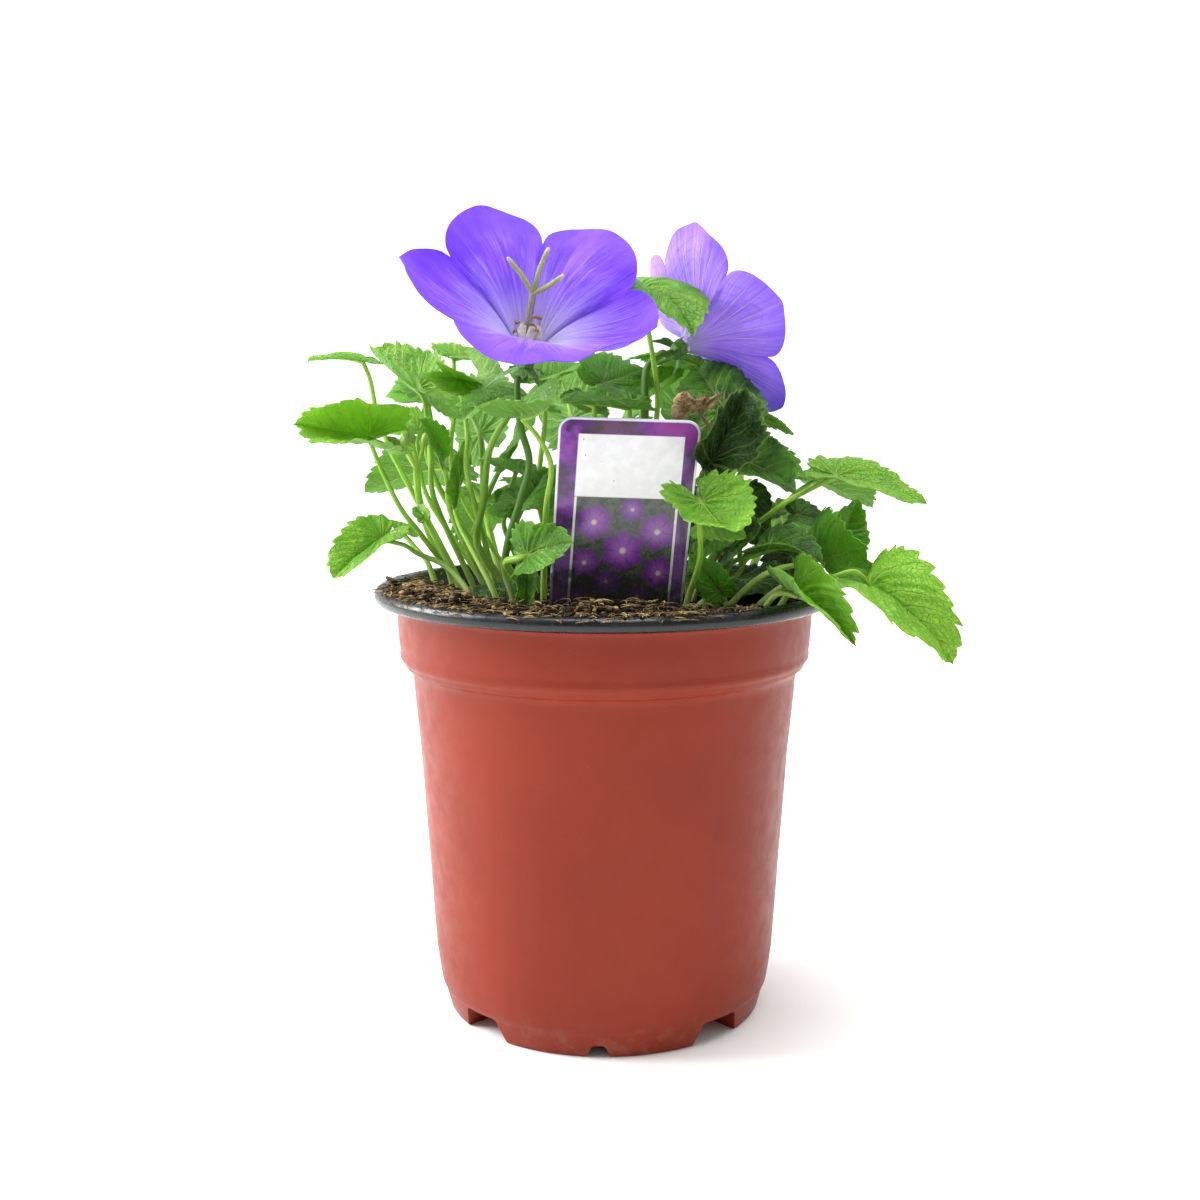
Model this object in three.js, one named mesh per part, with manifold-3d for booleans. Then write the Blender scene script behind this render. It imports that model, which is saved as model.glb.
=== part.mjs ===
// Potted carpathian bellflower: a round nursery pot with soil, a plant label, heart-shaped leaves
// on long stalks and two open bell flowers. Units are millimetres, +Z is up, the front faces -Y.
// The origin is on the pot's axis at the level of the surface that the feet stand on.
import * as THREE from 'three';
import { mergeVertices } from 'three/addons/utils/BufferGeometryUtils.js';
import Module from 'manifold-3d';

const wasm = await Module();
wasm.setup();

// ---------------------------------------------------------------- pot and soil
const POT_SEGMENTS = 36;
const WALL = 1.0;
const POT_OUTER = [[0, 0], [39.0, 0], [41.15, 6.2], [41.8, 7.0], [44.47, 39.7], [47.0, 75], [47.96, 85.5],
  [50.3, 88.9], [51.25, 93.9], [51.65, 102.9], [55.9, 103.8], [57.15, 105.2], [56.9, 106.5],
  [55.6, 107.2], [0, 107.2]];
const POT_INNER = [[0, 1], [38.2, 1], [40.6, 7.4], [43.47, 39.7], [46.0, 75], [46.9, 85.8], [49.2, 89.2],
  [50.2, 94], [50.6, 101.5], [51.4, 104.4], [52.6, 106.3], [54.0, 107.2], [54.0, 110], [0, 110]];
const FEET_TURN = -2 * Math.PI / 180;   // the front foot sits a little left of the middle
const CHANNEL_BOTTOM = 15, CHANNEL_TOP = 11, CHANNEL_HEIGHT = 5.7;
const NOTCH_BOTTOM = 6, NOTCH_TOP = 3.4, NOTCH_HEIGHT = 2.9;
const DRAIN_HOLE_RADIUS = 4.0;
const SOIL_PROFILE = [[0, 7.7], [40.2, 7.7], [43.15, 39.7], [45.68, 75], [46.55, 85.9], [48.8, 89.4],
  [49.85, 94.1], [50.22, 101.6], [49.6, 103.1], [43, 103.8], [0, 104.0]];
const STALK_END_Z = 104.9;

// ---------------------------------------------------------------- label
const LABEL_THICK = 0.8, LABEL_CLEAR = 0.4;
const LABEL = { o: [2.58, -19.82, 104], x: [0.9995, 0, -0.0331], y: [0.0327, -0.1574, 0.987], z: [-0.0052, -0.9875, -0.1573],
  above: 45.62, below: 30, shoulder: 12, soilHalf: 15.72, topHalf: 16.42, tipHalf: 7, corner: 3.2, lean: 1.9 };

// ---------------------------------------------------------------- leaves
const LEAF_THICK = 0.7;
const LEAF_SEGMENTS = 10;
const STALK_SIDES = 4;
// distance from the leaf base to the margin, by the angle from the tip direction (degrees)
const MARGIN_ANGLE = [0, 8, 16, 28, 42, 58, 75, 92, 110, 128, 146, 160, 170, 180];
const MARGIN_RADIUS = [1, .955, .885, .785, .69, .615, .565, .53, .50, .465, .41, .335, .22, .09];
// each leaf: base, tip, upper side normal of the chord, width, length bend, fold, side curl,
// left-right difference (radians), stalk radius, stalk points from the base to the soil
const LEAVES = [
  { name: 'leaf_01', k: 'top', b: [-63.32, 26.78, 162.52], t: [-77.58, 29, 162.17], n: [-0.0129, 0.0737, 0.9972], w: 14.8, bend: 0.496, fold: 0.368, curl: -0.616, diff: -0.029, r: 0.80, path: [[-61.42, 26.16, 157.28], [-59.87, 24.9, 149.46], [-57.28, 24.22, 141.83], [-54.99, 23.65, 136.77], [-38.32, 18.51, 106.12], [-36.32, 18.53, 100.07]] },
  { name: 'leaf_02', k: 'top', b: [-58.43, 1.96, 143.59], t: [-75.09, -10.1, 146.83], n: [0.5838, -0.691, 0.4262], w: 27.9, bend: 0.272, fold: 0.648, curl: 1.047, diff: 0.184, r: 0.80, path: [[-55.72, 3.53, 135.21], [-51.08, 1.45, 126.18], [-45.93, 2.88, 118.91], [-37.44, 7.57, 106.05], [-36.3, 7.63, 100.12]] },
  { name: 'leaf_03', k: 'top', b: [-49.19, 29.44, 143.81], t: [-59.97, 39.28, 145.22], n: [-0.4479, -0.5874, 0.674], w: 14.5, bend: -0.471, fold: 0.703, curl: 0.335, diff: 0.090, r: 0.80, path: [[-49.47, 27.68, 139.06], [-46.59, 25.66, 126.11], [-33.04, 20.66, 106.24], [-31.18, 20.27, 100.1]] },
  { name: 'leaf_04', k: 'top', b: [-48.47, 37.44, 152.76], t: [-58.87, 46.23, 153.82], n: [-0.4755, -0.636, 0.6078], w: 14.3, bend: 0.213, fold: 0.399, curl: 0.828, diff: 0.032, r: 0.80, path: [[-48.42, 33.34, 144.07], [-45.11, 31.05, 130.78], [-30.08, 27.06, 106.17], [-28.29, 25.47, 100.1]] },
  { name: 'leaf_05', k: 'top', b: [-47.65, 12.96, 155.34], t: [-60.78, 24.11, 165.76], n: [0.2464, -0.4909, 0.8356], w: 21.9, bend: -0.472, fold: 0.577, curl: 0.466, diff: -0.076, r: 0.80, path: [[-45.86, 12.38, 152.53], [-45.15, 12.7, 147.2], [-44.25, 12.55, 138.56], [-43.51, 11.08, 127.29], [-33.24, 3.53, 106.22], [-32.14, 3.16, 100.14]] },
  { name: 'leaf_06', k: 'top', b: [-40.29, 34.47, 163.18], t: [-33.33, 47.76, 165.55], n: [0.1853, -0.2659, 0.946], w: 15.5, bend: -0.321, fold: 0.245, curl: 0.052, diff: -0.023, r: 0.80, path: [[-39.66, 31.78, 152.29], [-40.27, 30.78, 131.22], [-25.79, 28.16, 106.1], [-23.91, 27.33, 100.12]] },
  { name: 'leaf_07', k: 'under', b: [-36.59, 5.62, 158.13], t: [-36.62, 28.22, 164.79], n: [0.8216, 0.1622, -0.5466], w: 20.1, bend: 1.658, fold: 0.822, curl: 1.047, diff: 0.188, r: 0.80, path: [[-35.12, 5.87, 150.28], [-34.19, 3.8, 143.33], [-33.87, -0.03, 133.42], [-27.81, 8.42, 106.44], [-26.75, 10.35, 100.09]] },
  { name: 'leaf_08', k: 'top', b: [-19.03, -1.03, 152.42], t: [-33.56, -11.1, 148.37], n: [-0.0491, -0.3113, 0.9491], w: 19.9, bend: 1.089, fold: 0.345, curl: -0.344, diff: 0.048, r: 1.10, path: [[-23.03, -0.88, 149.57], [-28.42, 0, 140.57], [-30.05, -0.34, 127.98], [-31.77, 0.97, 116.74], [-24.78, 1.72, 106.21], [-24.09, 1.56, 100.09]] },
  { name: 'leaf_09', k: 'top', b: [-19.07, -24.84, 149.02], t: [-11.13, -45.23, 153.16], n: [-0.4094, 0.0258, 0.912], w: 22.9, bend: -0.296, fold: 0.683, curl: -0.307, diff: 0.038, r: 0.80, path: [[-15.04, -21.32, 143.74], [-12.5, -18.98, 137.03], [-13.99, -15.7, 126.85], [-14.87, -9.11, 106.1], [-14.73, -8.81, 100.09]] },
  { name: 'leaf_10', k: 'top', b: [-46.62, 23.32, 154.13], t: [-37.06, 15.04, 147.63], n: [0.2099, -0.4421, 0.8721], w: 14.6, bend: 0.391, fold: -0.092, curl: 0.450, diff: 0.084, r: 0.80, path: [[-45.05, 21.41, 145.96], [-44.05, 18.57, 131.83], [-28.2, 15.17, 106.15], [-27.3, 14.24, 100.08]] },
  { name: 'leaf_11', k: 'under', b: [-41.56, 6.23, 139.73], t: [-45.58, 0.07, 147.65], n: [0.8912, -0.4403, 0.1093], w: 10.6, bend: 0.359, fold: 0.278, curl: 0.167, diff: -0.067, r: 0.80, path: [[-39.58, 4.83, 132.64], [-38.52, 4.23, 124.02], [-30.03, 3.18, 105.52], [-30.2, -0.51, 100.08]] },
  { name: 'leaf_12', k: 'top', b: [-36.75, 4.03, 129.97], t: [-34.86, 19.14, 142.18], n: [-0.0221, -0.6266, 0.779], w: 8.6, bend: 0.258, fold: 0.909, curl: 0.328, diff: -0.062, r: 0.80, path: [[-36.71, 0.78, 123.15], [-26.74, -13.04, 106.67], [-26.31, -8.42, 100.08]] },
  { name: 'leaf_13', k: 'under', b: [-56.39, 5.93, 117.81], t: [-67.5, -3.9, 108.77], n: [-0.065, -0.6346, 0.7701], w: 17.3, bend: 0.270, fold: 0.437, curl: 0.035, diff: -0.116, r: 0.80, path: [[-50.38, 3.67, 116.36], [-47, 2.14, 114.48], [-39.94, -0.09, 111.63], [-33.45, -6.69, 105.8], [-33.19, -7.21, 100.09]] },
  { name: 'leaf_14', k: 'under', b: [-52.57, 16.14, 118.83], t: [-59.25, 25.26, 120.49], n: [0.3056, 0.0515, 0.9508], w: 12.2, bend: 0.273, fold: 0.250, curl: -0.179, diff: 0.006, r: 0.80, path: [[-48.67, 13.36, 114.44], [-44.9, 8.95, 110.58], [-40.94, 3.87, 100.08]] },
  { name: 'leaf_15', k: 'top', b: [-45.49, 6.29, 122.93], t: [-48.21, 10.61, 125.51], n: [-0.3301, -0.6273, 0.7053], w: 5.4, bend: 0.090, fold: 0.470, curl: 0.465, diff: 0.014, r: 0.80, path: [[-42.97, 5.05, 118.16], [-36.41, -0.6, 106.35], [-35.95, -0.96, 100.09]] },
  { name: 'leaf_16', k: 'top', b: [-20.5, -5.97, 126.26], t: [-13.76, 7.67, 135.57], n: [-0.2717, -0.4477, 0.8519], w: 19.3, bend: -0.297, fold: 0.707, curl: -1.396, diff: 0.027, r: 0.80, path: [[-21.39, -4.37, 120.78], [-16.48, 3.2, 106.24], [-16.62, 4.24, 100.12]] },
  { name: 'leaf_17', k: 'top', b: [-24.96, 5.3, 124.54], t: [-26.31, 13.14, 129.76], n: [0.0303, -0.5502, 0.8345], w: 8.9, bend: 0.040, fold: 0.556, curl: 0.695, diff: 0.009, r: 0.80, path: [[-25.18, 6.48, 119.79], [-20.25, 11.62, 106.13], [-20.95, 12.04, 100.09]] },
  { name: 'leaf_18', k: 'top', b: [-17.78, -25.95, 117.15], t: [-7, -35.94, 121.22], n: [-0.7004, -0.5957, 0.3931], w: 16.0, bend: 0.368, fold: 0.234, curl: 0.620, diff: -0.107, r: 1.10, path: [[-20.02, -25.19, 116.37], [-23.36, -18.45, 114.14], [-18.25, -12.65, 105.69], [-17.82, -15.67, 100.06]] },
  { name: 'leaf_19', k: 'under', b: [-18.88, -20.73, 107.25], t: [-18.47, -12.85, 113.23], n: [0.1148, -0.6038, 0.7888], w: 7.3, bend: 0.294, fold: 0.499, curl: 0.578, diff: -0.052, r: 0.80, path: [[-14.25, -19.8, 100.12]] },
  { name: 'leaf_20', k: 'top', b: [-25.39, -7.28, 106.38], t: [-31.98, 1.07, 106.03], n: [-0.2017, -0.1179, 0.9723], w: 10.2, bend: 0.208, fold: 0.083, curl: -0.322, diff: -0.034, r: 0.80, path: [[-20.97, -8.79, 100.09]] },
  { name: 'leaf_21', k: 'top', b: [-22.51, 12.71, 134.74], t: [-32.57, 20.6, 136.9], n: [0.1134, -0.1255, 0.9856], w: 12.8, bend: 0.121, fold: 0.201, curl: 0.003, diff: -0.003, r: 0.80, path: [[-24.43, 14.25, 126.69], [-21.32, 18.88, 106.36], [-21.34, 24.01, 100.11]] },
  { name: 'leaf_22', k: 'top', b: [8.94, 6.08, 179.89], t: [20.55, -10.81, 167.99], n: [0.3858, -0.3392, 0.8579], w: 24.8, bend: 0.682, fold: 0.661, curl: -1.070, diff: -0.099, r: 0.80, path: [[9.82, 5.18, 174.13], [11.48, 5.28, 166.08], [13.27, 5.39, 152.32], [11.54, 4.44, 135.07], [9.88, 4.54, 106], [10.23, 3.94, 100.08]] },
  { name: 'leaf_23', k: 'under', b: [24.3, 24.87, 161.88], t: [6.91, 14.93, 162.72], n: [0.0269, 0.0374, 0.9989], w: 16.3, bend: 0.458, fold: 0.166, curl: -0.595, diff: -0.082, r: 0.80, path: [[18.62, 22.85, 150.24], [15.45, 18.17, 129.78], [16.19, 10.97, 105.37], [17.29, 10.54, 100.08]] },
  { name: 'leaf_24', k: 'top', b: [29.67, -2.58, 149.97], t: [23.68, 16.29, 159.93], n: [-0.3903, -0.5237, 0.7573], w: 23.4, bend: 0.813, fold: 0.311, curl: -1.396, diff: 0.048, r: 0.80, path: [[29.19, 2.73, 138.54], [31.74, 16.58, 127.47], [33.69, 25.08, 111.13], [32.56, 27.53, 105.29], [33.35, 27.96, 100.14]] },
  { name: 'leaf_25', k: 'top', b: [24.11, -25.73, 138.54], t: [33.11, -15.88, 154.92], n: [-0.0136, -0.8537, 0.5207], w: 31.1, bend: -0.611, fold: 0.960, curl: 0.298, diff: -0.349, r: 0.80, path: [[22.73, -17.98, 134.46], [22.17, -7.2, 121.74], [20.76, -3.34, 106.09], [21.67, -2.77, 100.11]] },
  { name: 'leaf_26', k: 'under', b: [38.25, 9.8, 149.04], t: [46.78, 2.29, 144.73], n: [0.5775, 0.203, 0.7908], w: 11.7, bend: 0.050, fold: 0.165, curl: -0.295, diff: -0.011, r: 0.80, path: [[36.62, 10.62, 140.02], [32.16, 11.35, 122.35], [29.82, 13.95, 106.6], [29.27, 12.23, 100.09]] },
  { name: 'leaf_27', k: 'top', b: [35.71, 1.89, 137.23], t: [48.86, 7.56, 130.1], n: [0.5512, -0.6913, 0.4672], w: 17.9, bend: 0.304, fold: 0.323, curl: 0.519, diff: 0.026, r: 0.80, path: [[32.93, 2.51, 132.88], [29.41, 7.72, 121.24], [30.13, 11.9, 105.8], [29.56, 3.99, 100.13]] },
  { name: 'leaf_28', k: 'under', b: [56.71, -4.37, 134.3], t: [77.15, -8.97, 128.11], n: [0.2047, -0.3294, 0.9218], w: 19.8, bend: 0.210, fold: 0.199, curl: -0.000, diff: -0.016, r: 0.80, path: [[54.52, -4.38, 133.12], [47.91, -4.31, 129.8], [42.41, -7.99, 126.96], [34.59, 5.07, 117.28], [35.47, 6.76, 107.5], [34.77, -1.65, 100.13]] },
  { name: 'leaf_29', k: 'top', b: [21.68, -39.69, 130.51], t: [27.69, -57.58, 125.9], n: [-0.2176, -0.3114, 0.925], w: 23.1, bend: -0.611, fold: 0.229, curl: 0.549, diff: 0.115, r: 0.80, path: [[21.5, -36.09, 125.14], [21.89, -31.35, 116.66], [19.36, -24.9, 106.13], [18.71, -24.87, 100.1]] },
  { name: 'leaf_30', k: 'top', b: [23.66, -17.76, 123.68], t: [32.59, -29.93, 121.74], n: [-0.55, -0.5094, 0.6618], w: 11.0, bend: 0.537, fold: 0.306, curl: 0.000, diff: -0.009, r: 0.80, path: [[22.77, -18.14, 117.93], [23.83, -22.26, 106.03], [23.96, -19.21, 100.08]] },
  { name: 'leaf_31', k: 'top', b: [38.48, -24.43, 118.5], t: [49.51, -30.28, 116.2], n: [0.0272, -0.3221, 0.9463], w: 14.3, bend: 0.972, fold: 0.513, curl: -0.000, diff: -0.018, r: 0.80, path: [[33.63, -21.87, 115.99], [31.6, -19.1, 111.73], [26.64, -21.88, 108.47], [18.97, -14.27, 100.08]] },
  { name: 'leaf_32', k: 'under', b: [54.45, -7.02, 114.53], t: [60.27, -29.56, 119.84], n: [-0.8606, -0.3162, -0.3993], w: 25.3, bend: 0.316, fold: 0.221, curl: -1.396, diff: -0.055, r: 0.80, path: [[50.38, -13.84, 111.14], [40.85, -18.35, 107.89], [30.56, -28.29, 100.1]] },
  { name: 'leaf_33', k: 'top', b: [59.89, 3.71, 118.81], t: [61.52, -7.26, 128.38], n: [-0.2744, -0.6549, -0.7041], w: 14.9, bend: 0.408, fold: 0.418, curl: 0.166, diff: -0.047, r: 0.80, path: [[51.77, -0.11, 113.2], [37.66, -16.81, 111.17], [24.73, -23.14, 100.12]] },
  { name: 'leaf_34', k: 'top', b: [60.45, -35.23, 110.9], t: [75.78, -51.07, 96.94], n: [-0.2071, -0.7517, 0.6261], w: 23.4, bend: 1.600, fold: 0.531, curl: 0.122, diff: 0.231, r: 0.80, path: [[56.54, -38.38, 114.97], [51.07, -37.46, 113.42], [45.67, -21.25, 110.04], [39.02, -20.95, 100.08]] },
  { name: 'leaf_35', k: 'top', b: [44.24, -33.64, 108.88], t: [55.07, -49.83, 100], n: [-0.4238, -0.6368, 0.6441], w: 19.8, bend: 1.403, fold: 0.960, curl: 0.433, diff: 0.342, r: 0.80, path: [[38.8, -36.07, 109.26], [33.85, -31.27, 100.1]] },
  { name: 'leaf_36', k: 'top', b: [30.7, -2.28, 107.92], t: [46.11, -16.15, 107.3], n: [-0.2007, -0.2647, 0.9432], w: 20.9, bend: 0.465, fold: -0.243, curl: 0.787, diff: 0.073, r: 0.80, path: [[22.27, -5.96, 100.13]] },
  { name: 'leaf_37', k: 'top', b: [27.95, -11.5, 110.2], t: [18.65, -18.79, 109.59], n: [0.0769, -0.1806, 0.9806], w: 11.5, bend: 0.267, fold: 0.011, curl: 0.053, diff: -0.046, r: 0.80, path: [[29.93, -23.8, 100.08]] },
  { name: 'leaf_38', k: 'top', b: [48.46, 5.36, 123.91], t: [56.43, 10.32, 121.65], n: [0.5422, -0.6051, 0.583], w: 9.3, bend: 0.110, fold: 0.243, curl: 0.188, diff: 0.043, r: 0.80, path: [[44.37, 6.87, 120.11], [35.59, 8.12, 113.09], [20.65, 10.92, 105.58], [21.57, 10.69, 100.15]] },
  { name: 'leaf_39', k: 'top', b: [38.22, 4.75, 124.04], t: [45.76, 12.46, 125.13], n: [0.2698, -0.3891, 0.8808], w: 10.8, bend: 0.215, fold: 0.203, curl: 0.071, diff: 0.075, r: 0.80, path: [[34.2, 6.29, 118.49], [26.27, 7.6, 106.38], [26.2, 1.25, 100.13]] },
  { name: 'leaf_40', k: 'top', b: [30.09, -14.83, 117.46], t: [36.52, -24.46, 123.8], n: [-0.8457, -0.2555, 0.4685], w: 13.3, bend: 0.088, fold: 0.050, curl: 0.272, diff: 0.056, r: 0.80, path: [[29.55, -19.28, 113.55], [26.63, -18.45, 106.91], [26.13, -9.79, 100.09]] },
  { name: 'leaf_41', k: 'top', b: [6.17, -5.83, 151.01], t: [-10.26, -9.05, 152.02], n: [0.1012, -0.2122, 0.972], w: 17.4, bend: 0.229, fold: 0.335, curl: -0.000, diff: -0.038, r: 0.80, path: [[5.86, -5.26, 143.02], [4.04, -3.85, 123.31], [2.09, -1.56, 106.16], [1.5, -1.84, 100.07]] },
  { name: 'leaf_42', k: 'under', b: [-2.38, 2.98, 151.21], t: [-10.82, 8.54, 153.15], n: [0.4455, 0.3963, 0.8028], w: 10.1, bend: 0.102, fold: 0.104, curl: 0.000, diff: -0.035, r: 0.80, path: [[-2.47, 3.2, 142.67], [-3.55, 5.82, 106.2], [-3.76, 6.25, 100.08]] },
  { name: 'leaf_43', k: 'under', b: [-0.05, 7.08, 156.67], t: [9.99, 22.45, 160.03], n: [0.44, -0.4565, 0.7733], w: 19.4, bend: 0.010, fold: 0.075, curl: 0.387, diff: 0.028, r: 0.80, path: [[0.25, 9.12, 144.95], [-0.94, 11.18, 122.05], [-2.02, 13.24, 106.12], [-1.83, 13.47, 100.1]] },
  { name: 'leaf_44', k: 'under', b: [10.11, 21.46, 153.61], t: [20.31, 23.7, 159.78], n: [-0.2681, -0.6744, 0.688], w: 11.9, bend: 0.270, fold: 0.315, curl: 0.351, diff: 0.039, r: 0.80, path: [[8.79, 12.85, 144.57], [7.46, 23.79, 121.14], [6.16, 21.01, 106.2], [6.07, 19.75, 100.14]] },
  { name: 'leaf_45', k: 'top', b: [-16.05, 10.69, 157.2], t: [-5.39, 23.69, 161.08], n: [0.0146, -0.2966, 0.9549], w: 18.1, bend: 0.049, fold: 0.357, curl: 0.174, diff: -0.012, r: 0.80, path: [[-15.11, 10.37, 147.42], [-16.72, 8.95, 127.24], [-11.32, 12.44, 105.99], [-10.84, 12.06, 100.11]] },
  { name: 'withered_leaf', k: 'dry', b: [27.93, -13.71, 148.5], t: [17.43, -13.71, 152.99], n: [0.2525, -0.766, 0.5911], w: 9.1, bend: 0.611, fold: 0.175, curl: 1.396, diff: 0.000, r: 0.60, path: [[25.55, -8.68, 144.43], [20.36, -8.82, 136.31], [17.13, -9.5, 121.58], [15.16, -10.04, 110.62], [14.86, -10.63, 100.12]] },
];
// shoots on the far side: a stem and its leaves
const SHOOTS = [
  { name: 'shoot_back_left', r: 1.10, stem: [[-33, 38, 124], [-30, 34, 112], [-27, 31, 100]], leaves: [
    { name: 'shoot_back_left_leaf_1', k: 'top', b: [-44.28, 40.97, 133.84], t: [-66.28, 49.97, 126.84], n: [0.0303, 0.6588, 0.7517], w: 23.0, bend: 0.436, fold: 0.209, curl: 0.000, diff: 0.000, r: 0.80, path: [[-38.7, 40.08, 130.39], [-33, 38, 124]] },
    { name: 'shoot_back_left_leaf_2', k: 'top', b: [-34, 42, 143], t: [-44, 53, 158], n: [0.6135, 0.7737, -0.1584], w: 22.0, bend: 0.262, fold: 0.244, curl: 0.000, diff: 0.000, r: 0.80, path: [[-33.5, 40, 135], [-33, 38, 124]] },
    { name: 'shoot_back_left_leaf_3', k: 'top', b: [-33, 48, 124], t: [-40, 56, 109], n: [-0.137, 0.8461, 0.5152], w: 17.0, bend: 0.611, fold: 0.244, curl: 0.000, diff: 0.000, r: 0.80, path: [[-33, 43, 125.5], [-33, 38, 124]] },
    { name: 'shoot_back_left_leaf_4', k: 'top', b: [-20, 40, 130], t: [-10, 53, 122], n: [0.0484, 0.4962, 0.8668], w: 19.0, bend: 0.436, fold: 0.209, curl: 0.000, diff: 0.000, r: 0.80, path: [[-26.5, 39, 128.5], [-33, 38, 124]] },
    { name: 'shoot_back_left_leaf_5', k: 'top', b: [-24.27, 33.04, 139.93], t: [-18.27, 15.04, 146.93], n: [-0.8833, -0.118, 0.4537], w: 19.0, bend: 0.262, fold: 0.209, curl: 0.000, diff: 0.000, r: 0.80, path: [[-28.73, 37.99, 132.82], [-33, 38, 124]] },
  ] },
  { name: 'shoot_back_mid', r: 1.10, stem: [[-5, 44, 128], [-6, 41, 114], [-6, 38, 100]], leaves: [
    { name: 'shoot_back_mid_leaf_1', k: 'top', b: [-9, 42, 147], t: [-14, 54, 163], n: [0.4896, 0.7641, -0.4201], w: 22.0, bend: 0.262, fold: 0.209, curl: 0.000, diff: 0.000, r: 0.80, path: [[-7, 43, 139], [-5, 44, 128]] },
    { name: 'shoot_back_mid_leaf_2', k: 'top', b: [4, 45, 143], t: [14, 55.5, 132], n: [0.1783, 0.6257, 0.7594], w: 21.0, bend: 0.524, fold: 0.209, curl: 0.000, diff: 0.000, r: 0.80, path: [[-0.5, 44.5, 137], [-5, 44, 128]] },
    { name: 'shoot_back_mid_leaf_3', k: 'top', b: [-7, 48, 122], t: [-14, 57, 108], n: [-0.2542, 0.7508, 0.6097], w: 17.0, bend: 0.524, fold: 0.209, curl: 0.000, diff: 0.000, r: 0.80, path: [[-6, 46, 126.5], [-5, 44, 128]] },
    { name: 'shoot_back_mid_leaf_4', k: 'top', b: [4.12, 35.99, 144.87], t: [11.12, 17.99, 149.87], n: [-0.6999, -0.0749, 0.7103], w: 20.0, bend: 0.262, fold: 0.209, curl: 0.000, diff: 0.000, r: 0.80, path: [[-0.78, 42.49, 137.84], [-5, 44, 128]] },
  ] },
  { name: 'shoot_back_right', r: 1.10, stem: [[22, 41, 127], [19, 38, 114], [17, 35, 100]], leaves: [
    { name: 'shoot_back_right_leaf_1', k: 'top', b: [22, 41, 149], t: [33, 52, 163], n: [-0.6744, 0.7368, -0.049], w: 23.0, bend: 0.314, fold: 0.244, curl: 0.000, diff: 0.000, r: 0.80, path: [[22, 41, 139.5], [22, 41, 127]] },
    { name: 'shoot_back_right_leaf_2', k: 'top', b: [36, 42, 136], t: [54, 51, 130], n: [0.0258, 0.5182, 0.8549], w: 22.0, bend: 0.436, fold: 0.209, curl: 0.000, diff: 0.000, r: 0.80, path: [[29, 41.5, 133], [22, 41, 127]] },
    { name: 'shoot_back_right_leaf_3', k: 'top', b: [22, 47, 123], t: [26, 56.5, 109], n: [0.3508, 0.7253, 0.5924], w: 19.0, bend: 0.611, fold: 0.244, curl: 0.000, diff: 0.000, r: 0.80, path: [[22, 44, 126.5], [22, 41, 127]] },
  ] },
  { name: 'shoot_back_far_right', r: 1.10, stem: [[45, 29, 120], [41, 26, 112], [36, 22, 100]], leaves: [
    { name: 'shoot_back_far_right_leaf_1', k: 'top', b: [56, 31, 131], t: [73, 38, 123], n: [0.2524, 0.396, 0.8829], w: 21.0, bend: 0.489, fold: 0.209, curl: 0.000, diff: 0.000, r: 0.80, path: [[50.5, 30, 127], [45, 29, 120]] },
    { name: 'shoot_back_far_right_leaf_2', k: 'top', b: [47, 36, 123], t: [52, 48, 109], n: [0.4435, 0.5961, 0.6693], w: 19.0, bend: 0.559, fold: 0.244, curl: 0.000, diff: 0.000, r: 0.80, path: [[46, 32.5, 123], [45, 29, 120]] },
  ] },
];
// ---------------------------------------------------------------- flowers
const PETAL_THICK = 0.6;
const BELL_POINTS = [0, .12, .25, .4, .55, .7, .85, 1.0];
const BELL_SLOPE = [68, 62, 54, 44, 32, 18, 8, 2].map((d) => d * Math.PI / 180);
// each corolla: base centre, axis, turn, arc length, base radius, lobe bends, lobe lengths,
// notch depth, early bends
const FLOWER_1 = { c: [-18.64, -12, 162.4], axis: [0.1269, -0.2989, 0.9458], turn: 0.5255, L: 37.06, r0: 1.60,
  bend: [0.2696, 0.3668, 0.5006, -0.0868, 0.4936], size: [1.0589, 1.0699, 0.9663, 0.9635, 0.8762], notch: 0.780,
  early: [0.1825, 0.1813, -0.4777, -0.5055, -0.7248],
  stem: [[-20.7, -13.87, 157.15], [-20.02, -14.65, 147.09], [-18.07, -11.83, 138.23], [-20.13, -14.91, 129.13], [-23.11, -14.66, 119.34], [-24.04, -12.81, 112.24], [-22.21, -13.57, 106.17], [-20.95, -12.82, 100.1]] };
const FLOWER_2 = { c: [19.72, 10, 166.01], axis: [0.8315, 0.3729, 0.4117], turn: 1.7506, L: 30.92, r0: 1.60,
  bend: [0.2002, 0.4538, 0.1069, -0.0324, 0.4223], size: [0.9365, 0.9252, 0.9106, 0.9995, 1.0303], notch: 0.688,
  early: [-0.5078, -0.4305, -0.2979, -0.0051, -0.8978],
  stem: [[14.17, 8.3, 164.09], [10.6, 7.75, 160.37], [9.96, 2.68, 153.32], [10.34, 1.89, 142.83], [11.18, -0.55, 123.22], [9.43, -5.71, 106.09], [9.09, -5.77, 100.09]] };
const PISTIL = { style: [[-18.49, -12.36, 163.54], [-18.01, -13.49, 167.13], [-17.98, -15, 171.64], [-16.68, -17, 178.01]],
  arms: [[[-16.68, -17, 177.51], [-19.19, -17.5, 181.64], [-22.61, -18, 185.93]], [[-16.68, -17, 177.51], [-14.97, -18, 183.43], [-12.86, -18, 188.2]], [[-16.68, -17, 177.51], [-13.1, -19, 179.27], [-9.33, -21, 181.65]]] };
const STAMENS = { pairs: [[[-19.43, -13.42, 164.33], [-20.56, -16.2, 168.91]], [[-17.15, -12.13, 164.43], [-14.97, -14, 171.9]], [[-17.63, -13.66, 164.02], [-15.43, -17.45, 168.86]], [[-19.24, -11.74, 164.84], [-20.17, -11.74, 171.09]]] };
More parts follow.
